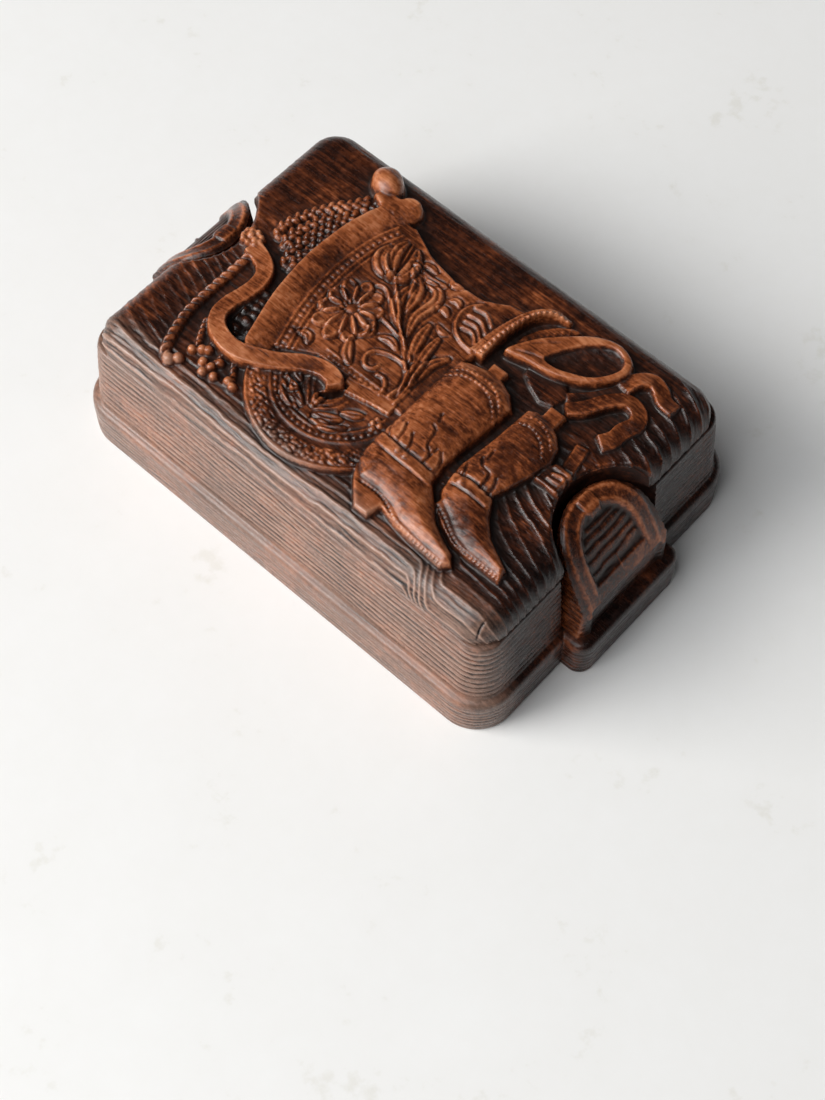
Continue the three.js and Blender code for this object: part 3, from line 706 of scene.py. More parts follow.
def ribbons(sheet):
    """The stirrup strap, the open loop with its pocket, and the loose ribbons."""
    strap(sheet, "ribbon", [(-7, -20), (-2, -19), (4, -17.7), (11, -16.8)], 2.7, 3.9, edge=0.3)

    def lift(t):
        return 3.0 + 2.2 * smooth(t, 0.33, 0.52) - 0.5 * smooth(t, 0.62, 0.75) + 1.2 * smooth(t, 0.84, 0.96)

    strap(sheet, "ribbon", STIRRUP_STRAP, 3.1, lift, edge=0.25, lean=0.35)
    # the dark hollows under the ribbon's curl
    curl = [(-7.6, -19), (-4.9, -19.4), (-4.4, -23.4), (-6.4, -26.6), (-9.5, -28.4), (-11, -27),
            (-7.6, -24.6), (-6.2, -21.6)]
    at, depth = sheet.inside(np.array(curl))
    sheet.height[at] -= 2.6 * smooth(depth, -0.1, 0.6)
    beads(sheet, "bead", [(9.6, -22.6), (10.6, -26), (9.2, -24.4), (11.6, -23.8)], 1.0, 2.6)
    slab(sheet, "loop", curve(LOOP, closed=True), 3.3, 0.9, 2.2)
    at, depth = sheet.inside(curve(POCKET, closed=True))
    hollow_level = 1.9 + 1.1 * np.exp(-np.maximum(depth, 0) / 2)
    hollow_level = hollow_level + 0.16 * noise(sheet.X[at], sheet.Y[at], 1.4, 51)
    sheet.sink(at, hollow_level, smooth(depth, -0.15, 0.35), "pocket")
    groove(sheet, "loop", [(24.5, 24.2), (29, 26.2), (33, 27.4)], 0.35, 0.5)
    groove(sheet, "loop", [(24.5, 26.6), (28, 31), (33, 35.4)], 0.3, 0.35)
    for line in (UPPER_RIBBON, LOWER_RIBBON):
        strap(sheet, "streamer", line, 2.9, lambda t: 2.5 + 0.7 * np.sin(5.5 * t), edge=0.2, lean=-0.7)
    strap(sheet, "streamer", [(46.5, 23), (51, 27.5), (55.5, 33.5), (58, 38.5)], 1.9, 1.4, edge=0.2)


def buckle(sheet):
    """The strap end by the near lug: a pleated strip that curls over a keeper."""
    strap(sheet, "keeper", [(61.5, 13), (62.5, 8), (63.5, 3)], 2.3, 1.3, edge=0.3)
    slab(sheet, "keeper", [(58, -6.5), (58, 0.5), (60.5, 3.2), (65.5, 2.4), (66.6, -1.6), (65.8, -6.2)],
         1.9, 0.5, 2)
    roll(sheet, "keeper", [(60.6, 1.2), (65.4, 1.2)], 1.2, 2.0, 1.1)
    roll(sheet, "keeper", [(61.6, -1.4), (64.4, -0.6), (66, -1.6), (65, -3), (61, -3.2)], 0.8, 2.4, 0.9)
    roll(sheet, "keeper", [(58.6, -5.4), (66.4, -5.6)], 0.8, 2.0, 0.8)


def boot(sheet, name, sole, upper, tab, rows, strap_line, knobs, welt, flames):
    """A riding boot lying on its side: sole and heel, upper, top stitching, ankle strap and welt."""
    slab(sheet, name, sole, 2.5, 0.5, 1.5)
    slab(sheet, name, upper, 2.1, 3.7 if name == "near_boot" else 3.1, 9.5)
    at, depth = sheet.inside(np.array(upper, float))
    worn = noise(sheet.X[at], sheet.Y[at], 1.5, 61) * 0.12 + noise(sheet.X[at], sheet.Y[at], 7, 62) * 0.2
    sheet.add(at, worn * smooth(depth, 0, 1.5), name)
    slab(sheet, name, tab, 2.6, 1.0, 1.4)
    for row in rows:
        stitches(sheet, name, row, 1.7, 0.42, 0.5, 0.55)
        groove(sheet, name, beside(row, 0.9), 0.25, 0.25)
    half = 2.3                           # the ankle strap's
    at, gap, _, _, _ = sheet.near(curve(strap_line), 3)
    sheet.add(at, 0.55 * smooth(half - gap, 0, 0.5), name)
    groove(sheet, name, beside(strap_line, -half), 0.5, 1.0)
    groove(sheet, name, beside(strap_line, half), 0.3, 0.45)
    for x, y in knobs:
        at = sheet.window(np.array([[x, y]]), 1.8)
        ball = np.sqrt(np.clip(1 - np.hypot(sheet.X[at] - x, sheet.Y[at] - y) / 1.3, 0, 1))
        sheet.add(at, 0.9 * ball, name)
    groove(sheet, name, welt, 0.4, 0.9)
    stitches(sheet, name, welt, 1.5, 0.5, 0.45, 0.5)
    for flame in flames:
        groove(sheet, name, flame, 0.4, 0.7)
        ridge(sheet, name, beside(flame, 0.9), 0.4, 0.3)


def boots(sheet):
    """The far boot, then the near one over it."""
    far = lambda points: shifted(points, 1.7, -1.9)
    near = lambda points: shifted(points, 2.0, -2.3)
    boot(sheet, "far_boot", FAR_SOLE, FAR_UPPER,
         [(45.6, 10), (45.4, 16.8), (52, 16.8), (52, 10)],
         [far([(41, 10.2), (46, 11), (51, 9), (55, 5.4)]), far([(41, 7), (46, 7.6), (51, 5.4), (54.6, 1.6)])],
         far([(36.6, -21), (42, -20.7), (48, -20.6), (52.5, -20.4)]),
         far([(41.5, -20.8)]),
         [(42.5, -32.6), (48, -35.2), (54, -38.3), (60, -39.3), (72, -39.2)],
         [far(line) for line in ([(42, -6), (42.6, -9.5)],
                                 [(41, -10), (43, -12.5), (46.5, -13.5), (47.5, -19)],
                                 [(49, -13), (50, -15.5), (50.4, -19)],
                                 [(38.6, -14), (40, -17), (40.6, -19)])])
    boot(sheet, "near_boot", NEAR_SOLE, NEAR_UPPER,
         [(22.4, 11), (22.2, 17), (28.8, 17), (28.8, 11)],
         [near([(12.6, 8), (17, 10.6), (24, 11.6), (30, 9.6), (35.5, 4.6)]),
          near([(12.4, 5.4), (17, 8), (24, 8.8), (30, 6.8), (35, 2)])],
         near([(11, -24.2), (16, -25.4), (22, -26), (28, -26), (34.6, -25.8)]),
         near([(20.6, -25.6), (23.6, -25.6)]),
         [(20, -42), (27, -41.7), (32, -43), (37, -45.4), (46, -46.4), (57.5, -47)],
         [near(line) for line in ([(22, -7), (23.2, -9.4)],
                                  [(22.5, -11.5), (24.6, -13), (26, -18), (28.6, -20), (29, -23.4)],
                                  [(16, -16), (17.4, -19), (17.8, -22.6)],
                                  [(20, -18), (22, -21), (22.6, -23.6)],
                                  [(12, -18), (13.4, -21), (15, -23)],
                                  [(30.6, -17), (32.6, -19.4), (33.4, -23)],
                                  [(29, -17.4), (28.8, -20)])])


def notch_gap(sheet):
    """Distance from each cell to the nearer notch's edge, measured on the flat."""
    near = -arch_depth(sheet.X, sheet.Y, NOTCH_GAP)
    far = -arch_depth(-sheet.X - FAR_LUG_OUT, sheet.Y - FAR_LUG_SIDE, NOTCH_GAP)
    return np.minimum(near, far)


def lid_sheet():
    """The lid's whole relief on the flat, in the order in which the forms overlap."""
    flat = LID_EDGE * math.pi / 2 + 2.2
    reach_x, reach_y = LID_X - LID_EDGE + flat, LID_Y - LID_EDGE + flat
    sheet = Sheet(-reach_x, reach_x, -reach_y, reach_y, FINE)
    carve_ground(sheet)
    skirt(sheet)
    saddle(sheet)
    flower(sheet)
    cantle(sheet)
    horn(sheet)
    ropes(sheet)
    ribbons(sheet)
    buckle(sheet)
    boots(sheet)
    # a short crack at the near corner, and the worn edge of the notches
    at, gap, _, run, length = sheet.near(curve([(77.5, -50), (78.3, -54), (80, -58)]), 1)
    sheet.add(at, -0.9 * np.exp(-((gap / 0.28) ** 2)) * np.sin(np.pi * np.clip(run / length, 0, 1)))
    sheet.height -= 0.9 * smooth(1.3 - notch_gap(sheet), 0, 1.3) ** 2
    sheet.height = blur(sheet.height, 0.55)
    return sheet


# how much paler or darker the wood of each form is
TINTS = {
    "ground": -0.12, "skirt": 0.05, "field": 0.2, "swell": 0.32, "cantle": 0.2, "fan": 0.0, "fold": -0.3,
    "horn": 0.25, "hide": -0.3, "lariat": 0.0, "rope": 0.05, "bead": 0.2, "ribbon": 0.25, "loop": 0.3,
    "pocket": -0.15, "streamer": 0.1, "keeper": 0.0, "near_boot": 0.3, "far_boot": 0.12,
}


def shade_fields(height, step):
    """How far each cell stands above its near and its wider surroundings."""
    crest = np.clip((height - blur(height, 0.7 / step)) / 0.22, -1, 1)
    form = np.clip((height - blur(height, 3.2 / step)) / 1.6, -1, 1)
    return crest, form


def roll_over(sheet):
    """The sheet's points in space: flat in the middle, rolled over the lid's edge, then straight down."""
    corner = LID_CORNER - LID_EDGE
    half = np.array([LID_X - LID_EDGE, LID_Y - LID_EDGE])
    flat = np.stack([sheet.X, sheet.Y], -1)
    out = np.maximum(np.abs(flat) - (half - corner), 0)
    reach = np.hypot(out[..., 0], out[..., 1])
    away = np.maximum(reach - corner, 0)
    normal = np.sign(flat) * out / np.maximum(reach, 1e-9)[..., None]
    foot = flat - normal * away[..., None]
    angle = np.minimum(away / LID_EDGE, math.pi / 2)
    below = np.maximum(away - LID_EDGE * math.pi / 2, 0)
    tuck = 0.5 * smooth(below, -0.9, 0.9)
    height = sheet.height - tuck
    edge = np.maximum(away - 3, 0)
    height = height * np.where(below > 0.5, 0.4, 1) * (1 - 0.25 * smooth(edge, 0, 9))
    outward = LID_EDGE * np.sin(angle) + height * np.sin(angle)
    up = GROUND - LID_EDGE * (1 - np.cos(angle)) - below + height * np.cos(angle)
    place = foot + normal * outward[..., None]
    return np.concatenate([place, up[..., None]], -1)


# ---- meshes ----
def mesh_object(name, points, faces, materials, attributes=None):
    """A mesh in metres, from points in millimetres."""
    mesh = bpy.data.meshes.new(name)
    mesh.from_pydata((np.asarray(points) * MM).tolist(), [], faces)
    for key, values in (attributes or {}).items():
        layer = mesh.attributes.new(key, "FLOAT", "POINT")
        layer.data.foreach_set("value", np.asarray(values, np.float32))
    obj = bpy.data.objects.new(name, mesh)
    bpy.context.scene.collection.objects.link(obj)
    for material in materials:
        mesh.materials.append(material)
    return obj


def grid_faces(rows, columns, closed=False):
    """The quads between the points of a grid."""
    index = np.arange(rows * columns).reshape(rows, columns)
    if closed:
        index = np.concatenate([index, index[:, :1]], 1)
    quads = np.stack([index[:-1, :-1], index[1:, :-1], index[1:, 1:], index[:-1, 1:]], -1)
    return quads.reshape(-1, 4)


def closed_sheet(name, place, bottom, materials, attributes):
    """A grid of points closed underneath by a fan to one low point."""
    rows, columns = place.shape[:2]
    index = np.arange(rows * columns).reshape(rows, columns)
    edge = np.concatenate([index[0, :-1], index[:-1, -1], index[-1, :0:-1], index[:0:-1, 0]])
    points = np.vstack([place.reshape(-1, 3), [[0, 0, bottom]]])
    centre = rows * columns
    faces = grid_faces(rows, columns).tolist()
    faces += [[int(a), int(b), centre] for a, b in zip(edge, np.roll(edge, -1))]
    values = {key: np.append(field.ravel(), 0) for key, field in attributes.items()}
    return mesh_object(name, points, faces, materials, values)


def signed_area(outline):
    """The area inside an outline, negative where it runs clockwise."""
    x, y = outline.T
    return np.sum(x * np.roll(y, -1) - np.roll(x, -1) * y) / 2


def tube_faces(count):
    """The faces of a solid between two like rings of points."""
    faces = [[k, (k + 1) % count, (k + 1) % count + count, k + count] for k in range(count)]
    return faces + [list(range(count))[::-1], list(range(count, 2 * count))]


def prism(name, outline, z0, z1, material):
    """A closed solid with the outline's shape between two heights."""
    outline = np.asarray(outline, float)
    count = len(outline)
    if signed_area(outline) < 0:
        outline = outline[::-1]
    points = [(x, y, z) for z in (z0, z1) for x, y in outline]
    faces = tube_faces(count)
    return mesh_object(name, points, faces, [material])


def rod(name, x0, x1, y, z, radius, material, count=24):
    """A round bar along X, closed at its ends."""
    turns = np.linspace(0, 2 * np.pi, count, endpoint=False)
    ring = [(y + radius * math.cos(a), z + radius * math.sin(a)) for a in turns]
    points = [(x, *at) for x in (x0, x1) for at in ring]
    faces = tube_faces(count)
    return mesh_object(name, points, faces, [material])


def combine(target, tool, operation="DIFFERENCE"):
    """Cuts the tool out of the target, or joins it on, and removes the tool."""
    change = target.modifiers.new("combine", "BOOLEAN")
    change.operation, change.object, change.solver = operation, tool, "MANIFOLD"
    change.material_mode = "TRANSFER"
    bpy.context.view_layer.update()
    graph = bpy.context.evaluated_depsgraph_get()
    result = bpy.data.meshes.new_from_object(target.evaluated_get(graph))
    if not result.polygons:
        raise RuntimeError(f"{tool.name} left nothing of {target.name}")
    target.modifiers.clear()
    old, target.data = target.data, result
    bpy.data.meshes.remove(old)
    bpy.data.objects.remove(tool)


CUT_FACES = 1                            # material index of the faces that a cut leaves
SHARP_ANGLE = math.radians(35)


def finish_surface(obj):
    """Smooth shading, with hard edges round the cut faces only."""
    mesh = obj.data
    count = len(mesh.polygons)
    normals = np.zeros(3 * count, np.float32)
    mesh.polygons.foreach_get("normal", normals)
    normals = normals.reshape(-1, 3)
    kind = np.zeros(count, np.int32)
    mesh.polygons.foreach_get("material_index", kind)
    sides = np.zeros(count, np.int32)
    mesh.polygons.foreach_get("loop_total", sides)
    edges = np.zeros(len(mesh.loops), np.int32)
    mesh.loops.foreach_get("edge_index", edges)
    order = np.argsort(edges, kind="stable")
    pairs = np.repeat(np.arange(count), sides)[order].reshape(-1, 2)
    bend = (normals[pairs[:, 0]] * normals[pairs[:, 1]]).sum(1) < math.cos(SHARP_ANGLE)
    inner = kind[pairs] == CUT_FACES
    sharp = (inner[:, 0] != inner[:, 1]) | (inner.all(1) & bend)
    mesh.attributes.new("sharp_edge", "BOOLEAN", "EDGE").data.foreach_set("value", sharp)
    mesh.polygons.foreach_set("use_smooth", np.ones(count, bool))
    mesh.update()


# ---- plan outlines ----
def rounded_rect(half_x, half_y, radius, arc=12):
    """A rounded rectangle's outline."""
    points = []
    for k, (sx, sy) in enumerate(((1, 1), (-1, 1), (-1, -1), (1, -1))):
        for a in np.linspace(k * math.pi / 2, (k + 1) * math.pi / 2, arc):
            points.append((sx * (half_x - radius) + radius * math.cos(a),
                           sy * (half_y - radius) + radius * math.sin(a)))
    return points


def arch(grow, end_x, side=1, arc=40):
    """A stirrup lug's outline, grown all round."""
    turns = np.linspace(math.pi / 2, 1.5 * math.pi, arc)
    points = [(end_x, -LUG_HALF - grow), (end_x, LUG_HALF + grow)]
    length, half = LUG_LENGTH + grow, LUG_HALF + grow
    points += [(LUG_CENTRE + length * math.cos(a), half * math.sin(a)) for a in turns]
    return points if side > 0 else [(-x - FAR_LUG_OUT, y + FAR_LUG_SIDE) for x, y in points]


def hollow(name, half_x, half_y, bulge, z0, z1, material):
    """The room inside a shell: a rounded block that stands off the lugs."""
    tool = prism(name, rounded_rect(half_x, half_y, CAVITY_CORNER), z0, z1, material)
    for side in (1, -1):
        combine(tool, prism("bulge", arch(bulge, LUG_END + 15, side), z0 - 1, z1 + 1, material))
    return tool


# ---- the base ----
def rounded_ring(half_x, half_y, radius, step):
    """Evenly spaced points round a rounded rectangle, their outward normals and their run along it."""
    straight_x, straight_y = 2 * (half_x - radius), 2 * (half_y - radius)
    arc = math.pi / 2 * radius
    total = 2 * (straight_x + straight_y) + 4 * arc
    run = np.linspace(0, total, int(total / step), endpoint=False)
    points, normals = np.zeros((len(run), 2)), np.zeros((len(run), 2))
    start = 0.0
    for k, straight in enumerate((straight_y, straight_x, straight_y, straight_x)):
        turn = k * math.pi / 2
        facing = np.array([math.cos(turn), math.sin(turn)])
        along = np.array([-facing[1], facing[0]])
        reach = half_x if k % 2 == 0 else half_y
        on = (run >= start) & (run < start + straight)
        points[on] = reach * facing + (run[on] - start - straight / 2)[:, None] * along
        normals[on] = facing
        start += straight
        centre = (reach - radius) * facing + straight / 2 * along
        on = (run >= start) & (run < start + arc)
        a = turn + (run[on] - start) / radius
        normals[on] = np.stack([np.cos(a), np.sin(a)], 1)
        points[on] = centre + radius * normals[on]
        start += arc
    return points, normals, run


def along_profile(profile, step):
    """Evenly spaced points along a profile's segments."""
    line = np.array(profile, float)
    run = run_along(line)
    return points_at(np.linspace(0, run[-1], int(run[-1] / step) + 1), run, line)


def even_ring(line, step):
    """Evenly spaced points round a closed line, their outward normals and their run, and its length."""
    closed_line = np.vstack([line, line[:1]])
    run = run_along(closed_line)
    marks = np.linspace(0, run[-1], int(run[-1] / step), endpoint=False)
    points = points_at(marks, run, closed_line)
    along = np.roll(points, -1, 0) - np.roll(points, 1, 0)
    normals = np.stack([along[:, 1], -along[:, 0]], 1) / np.hypot(*along.T)[:, None]
    normals *= np.sign((normals * (points - points.mean(0))).sum())
    return (points, normals, marks), run[-1]


def side_grain(run, z, seed, strength=1.0):
    """Horizontal moulded grain: wavy ridges with sharp grooves, and finer lines between them."""
    wave = z + 0.9 * noise(run, z * 2, 34, seed) + 0.35 * noise(run, z * 3, 9, seed + 1)
    eye = np.exp(-(((run - 480) / 26) ** 2))
    wave = wave + 1.5 * np.tanh((z - 31) / 5) * eye
    ridge_line = np.abs(np.sin(np.pi * wave / 2.6)) ** 0.7
    fine = np.abs(np.sin(np.pi * (wave + 0.2 * noise(run, z, 3, seed + 2)) / 0.87)) ** 0.8
    patchy = 0.7 + 0.5 * noise(run, z * 2, 20, seed + 3)
    drift = 0.07 * noise(run / 5, z, 0.8, seed)
    return strength * (0.7 * patchy * (ridge_line - 0.65) + 0.2 * (fine - 0.6) + drift)


def loft(name, ring, profile, relief, bottom, top, materials):
    """A ring of points swept up a profile of (outward, height), closed by a fan at each end."""
    points, normals, _ = ring
    out = profile[:, 0][:, None] + relief
    flat = points[None] + normals[None] * out[..., None]
    level = np.broadcast_to(profile[:, 1][:, None], out.shape)
    place = np.concatenate([flat, level[..., None]], -1)
    rows, columns = out.shape
    faces = [face[::-1] for face in grid_faces(rows, columns, closed=True).tolist()]
    low, high = rows * columns, rows * columns + 1
    last = (rows - 1) * columns
    for k in range(columns):
        follow = (k + 1) % columns
        faces.append([follow, k, low])
        faces.append([last + k, last + follow, high])
    middle = points.mean(0)
    everything = np.vstack([place.reshape(-1, 3), [[*middle, bottom]], [[*middle, top]]])
    wide = np.concatenate([relief[:, -40:], relief, relief[:, :40]], 1)
    crest, form = (field[:, 40:-40] for field in shade_fields(wide, MEDIUM))
    # painted shade: the sides that face +X, away from the window, made darker
    tone_and_shade = np.broadcast_to(-0.35 * smooth(normals[:, 0], 0.2, 0.9), out.shape)
    fields = {"crest": crest, "form": form, "tone_and_shade": tone_and_shade}
    values = {key: np.append(field.ravel(), [0, 0]) for key, field in fields.items()}
    return mesh_object(name, everything, faces, materials, values)


# a plinth's edge, as (outward, height): a small foot, a straight side and a rounded shoulder
PLINTH_EDGE = [(-0.8, 0), (-0.2, 0.25), (0, 0.9), (0, 14.4), (-0.15, 15.4), (-0.6, 16.2), (-1.3, 16.7)]


def body_profile():
    """From the underside up the plinth, over its rounded shoulder and its cove, to the seam."""
    plinth_out = LEDGE + DRAFT
    side = plinth_out - LEDGE
    shoulder = [(plinth_out + out, z) for out, z in PLINTH_EDGE]
    cove = [(plinth_out - 2.0, 16.95), (side + 0.35, 17.3), (side + 0.1, 18.0), (side - 0.05, 19.0)]
    rim = [(0.05, SEAM - 0.9), (-0.15, SEAM - 0.3), (-0.6, SEAM), (-3.5, SEAM)]
    return shoulder + cove + rim


def base_body(wood, inner):
    """The plinth and walls of the base, as one solid block."""
    profile = along_profile(body_profile(), MEDIUM)
    inset = LEDGE + DRAFT
    ring = rounded_ring(PLINTH_X - inset, PLINTH_Y - inset, PLINTH_CORNER - inset, MEDIUM)
    run, z = np.meshgrid(ring[2], profile[:, 1])
    side = smooth(z, 18, 20) * smooth(44.6 - z, 0, 1.2)
    plinth = smooth(z, 0.6, 2) * smooth(14.6 - z, 0, 1.5)
    rim = smooth(profile[:, 0][:, None] + 2.0, 0, 1.5)
    relief = side * side_grain(run, z, 71) + 0.55 * plinth * side_grain(run * 1.1, z * 1.25, 75)
    relief = relief + 0.25 * rim * noise(run, z, 16, 79) * smooth(z, 40, 45)
    return loft("base_shell_wood", ring, profile, relief, 0, SEAM, [wood, inner])


def crown_height(x):
    """The height of a lug's crown, which curls down towards its face."""
    return LUG_CROWN - LUG_CURL * (x - LUG_CREST) ** 2


def arch_depth(x, y, grow):
    """About how far a point is inside a lug's outline."""
    half, length = LUG_HALF + grow, LUG_LENGTH + grow
    past = np.maximum(LUG_CENTRE - x, 0)
    scale = np.hypot(past / length, y / half)
    return np.hypot(past, y) * (1 / np.maximum(scale, 1e-3) - 1)


def crown(wood, inner):
    """Everything under a lug's crown: the stirrup's band round a sunken, grained panel, and its strap."""
    sheet = Sheet(LUG_CENTRE - LUG_LENGTH - 6, LUG_FACE + 6, -27, 27, MEDIUM * 0.75)
    x, y = sheet.X, sheet.Y
    fall = np.minimum(x, LUG_FACE + 0.4)
    sheet.height = crown_height(fall) - np.maximum(x - LUG_FACE - 0.4, 0) * 2
    band = arch_depth(x, y, 0)
    well = np.minimum(arch_depth(x, y, -6.2), (LUG_CENTRE + 2.6 - x) * 1.2)
    lines = np.abs(np.sin(np.pi * (x + 0.9 * noise(x * 3, y, 9, 81)) / 2.1)) ** 0.7
    floor = smooth(well, -0.2, 1.0)
    tread = smooth(x, LUG_CENTRE + 1.8, LUG_CENTRE + 2.8) * smooth(well, -12, 0.2) * smooth(band, 5.2, 6.4)
    sheet.height -= floor * (2.1 - 0.9 * (lines - 0.6)) + 0.5 * tread
    round_over = 1 - np.clip(band / 1.2, 0, 1)
    sheet.height -= 0.7 * round_over**2
    inner_edge = np.exp(-(((well + 0.8) / 0.7) ** 2)) + np.exp(-(((band - 1.6) / 0.7) ** 2))
    sheet.height += (1 - floor) * (1 - tread) * (0.3 * inner_edge + 0.15 * noise(x, y, 2.5, 83))
    stub = circle(LUG_CENTRE - LUG_LENGTH + 4.4, 1, 4.0, 3.8, 24)
    stub = [(max(min(px, 77.2), 70.6), max(min(py, 4.3), -2.3)) for px, py in stub]
    at, depth = sheet.inside(np.array(stub), 1)
    level = crown_height(np.minimum(sheet.X[at], LUG_FACE)) + 0.9 * smooth(depth, -0.2, 0.6)
    sheet.height[at] = np.where(depth > -0.2, np.maximum(sheet.height[at], level), sheet.height[at])
    crest, form = shade_fields(sheet.height - crown_height(fall), sheet.step)
    tone_and_shade = (0.35 * inner_edge - 0.15) * (1 - floor) * (1 - tread) - 0.3 * floor - 0.3 * tread
    place = np.stack([x, y, sheet.height], -1)
    return closed_sheet("crown", place, -5, [wood, inner], {"crest": crest, "form": form, "tone_and_shade": tone_and_shade})


def lug(wood, inner):
    """A stirrup lug on the +X side, down to just above the underside."""
    outline = np.array(arch(0, LUG_FACE, 1, 90))
    ring, _ = even_ring(np.vstack([curve(outline[2:], per=3), outline[:2]]), MEDIUM)
    points, _, marks = ring
    face = smooth(points[:, 0], LUG_FACE - 0.6, LUG_FACE)
    corner = smooth(np.abs(points[:, 1]), LUG_HALF - 2.5, LUG_HALF)
    profile = along_profile([(LUG_FLARE, 1), (LUG_FLARE, 17.5), (0, LUG_CROWN), (0, LUG_CROWN + 4)], MEDIUM)
    spans, z = np.meshgrid(marks, profile[:, 1])
    relief = side_grain(spans, z, 85, 0.8) - profile[:, 0][:, None] * (face * (1 - 0.3 * corner))[None]
    block = loft("lug", ring, profile, relief, 1, LUG_CROWN + 4, [wood, inner])
    combine(block, crown(wood, inner), "INTERSECT")
    return block


def lug_plinth(wood, inner):
    """The lug's own plinth, with a cove up to the box's side."""
    length = LUG_END - 62
    plinth_ring = rounded_ring(length / 2, LUG_PLINTH_HALF, 5, MEDIUM)
    plinth_profile = along_profile(PLINTH_EDGE + [(-2.2, 16.95), (-4.5, 17.1)], MEDIUM)
    run, z = np.meshgrid(plinth_ring[2], plinth_profile[:, 1])
    plinth_relief = 0.5 * smooth(z, 0.6, 2) * smooth(14.6 - z, 0, 1.5) * side_grain(run, z * 1.2, 91)
    points = plinth_ring[0] + np.array([LUG_END - length / 2, 0])
    return loft("plinth", (points, plinth_ring[1], plinth_ring[2]), plinth_profile, plinth_relief, 0, 17.1,
                [wood, inner])


def mirrored(obj):
    """A copy on the other side of X = 0."""
    copy = obj.copy()
    copy.data = obj.data.copy()
    copy.data.transform(Matrix.Diagonal((-1, 1, 1, 1)))
    copy.data.flip_normals()
    bpy.context.scene.collection.objects.link(copy)
    return copy


# ---- hinge cut-outs, placed by the frame's hinge leaves ----
HINGES = ("left", "right")
KNUCKLE = 1.2                            # radius of a hinge's knuckles
LEAF = 1.0                               # depth of a leaf's recess
SCREW_HOLE = 1.0                         # its radius
BEVEL = 1.3                              # size of the wedge cut from the base's back rim


def cut_hinges(shell, side_name, inner):
    """Room in a shell's back rim for the hinges' leaves, knuckles and screws."""
    for hinge in HINGES:
        low, _ = node_box(f"{hinge}_hinge_{side_name}_leaf")
        pin_low, pin_high = node_box(f"{hinge}_hinge_pin")
        y, z = (pin_low[1:] + pin_high[1:]) / 2
        if side_name == "base":
            z0, z1 = SEAM - LEAF - CLEAR, SEAM + 1
        else:
            z0, z1 = LID_RIM - 1, LID_RIM + LEAF + CLEAR
        x0, x1 = pin_low[0] - CLEAR, pin_high[0] + CLEAR
        recess = [(x0, low[1] - CLEAR), (x1, low[1] - CLEAR), (x1, y + 4), (x0, y + 4)]
        combine(shell, prism("recess", recess, z0, z1, inner))
        combine(shell, rod("knuckles", x0, x1, y, z, KNUCKLE + CLEAR, inner))
        for end in ("outer", "inner"):
            screw_low, screw_high = node_box(f"{hinge}_hinge_{side_name}_screw_{end}")
            centre = (screw_low + screw_high) / 2
            hole = circle(centre[0], centre[1], SCREW_HOLE, SCREW_HOLE, 16)
            combine(shell, prism("hole", hole, screw_low[2] - CLEAR, screw_high[2] + CLEAR, inner))


def make_lid(wood, inner):
    """The lid: relief, hollow, notches for the lugs, and room for the hinges."""
    sheet = lid_sheet()
    crest, form = shade_fields(sheet.height, FINE)
    tone_and_shade_grid = np.array([TINTS[name] for name in sheet.names])[sheet.owner]
    # painted shade: the lid's +X end made darker, away from the window
    tone_and_shade_grid = tone_and_shade_grid - 0.25 * smooth(sheet.X, 25, 70)
    place = roll_over(sheet)
    lid = closed_sheet("lid_shell_wood", place, LID_RIM - 1.2, [wood, inner],
                       {"crest": crest, "form": form, "tone_and_shade": blur(tone_and_shade_grid, 1)})
    reach = LUG_END + 10
    below = [(-reach, -reach), (reach, -reach), (reach, reach), (-reach, reach)]
    combine(lid, prism("below", below, -5, LID_RIM, inner))
    tool = hollow("cavity", LID_CAVITY_X, LID_CAVITY_Y, LID_BULGE, LID_RIM - 1, LID_CEILING, inner)
    combine(lid, tool)
    for side in (1, -1):
        combine(lid, prism("notch", arch(NOTCH_GAP, LUG_END + 15, side), LID_RIM - 2, GROUND + 20, inner))
    cut_hinges(lid, "lid", inner)
    finish_surface(lid)
    return lid


def back_bevel(inner):
    """A wedge along the base's back rim, which clears the lid as it opens."""
    back, half = PLINTH_Y - LEDGE - DRAFT, PLINTH_X - LEDGE - DRAFT
    corner = [(back - BEVEL, SEAM + 0.1), (back + 1, SEAM + 0.1), (back + 1, SEAM - BEVEL)]
    points = [(x, y, z) for x in (-half, half) for y, z in corner]
    faces = [[0, 1, 2], [3, 5, 4], [0, 3, 4, 1], [1, 4, 5, 2], [2, 5, 3, 0]]
    return mesh_object("bevel", points, faces, [inner])


def make_base(wood, inner):
    """The base: body, lugs, hollow, pad recess, and room for lid and hinges."""
    base = base_body(wood, inner)
    for side in (1, -1):
        combine(base, prism("slot", arch(SLOT_GAP, LUG_END + 15, side), PLINTH_TOP, SEAM + 1, inner))
    near = lug(wood, inner)
    far = mirrored(near)
    far.data.transform(Matrix.Translation((-FAR_LUG_OUT * MM, FAR_LUG_SIDE * MM, 0)))
    reach = LUG_END + 20
    beyond = [(-LUG_FACE, -reach), (-LUG_FACE, reach), (-reach, reach), (-reach, -reach)]
    combine(far, prism("beyond", beyond, -5, LUG_CROWN + 5, wood))
    near_plinth = lug_plinth(wood, inner)
    far_plinth = mirrored(near_plinth)
    for part in (near, far, near_plinth, far_plinth):
        combine(base, part, "UNION")
    combine(base, hollow("cavity", CAVITY_X, CAVITY_Y, BULGE, CAVITY_FLOOR, SEAM + 20, inner))
    pad = rounded_rect(felt_high[0] + CLEAR, felt_high[1] + CLEAR, CAVITY_CORNER)
    combine(base, prism("pad", pad, -1, felt_high[2] + CLEAR, inner))
    combine(base, back_bevel(inner))
    cut_hinges(base, "base", inner)
    finish_surface(base)
    return base


# ---- linings ----
CLOTH = 1.6                              # cell size of the linings
WALL_CLOTH = 0.7                         # thickness of the strip round the walls


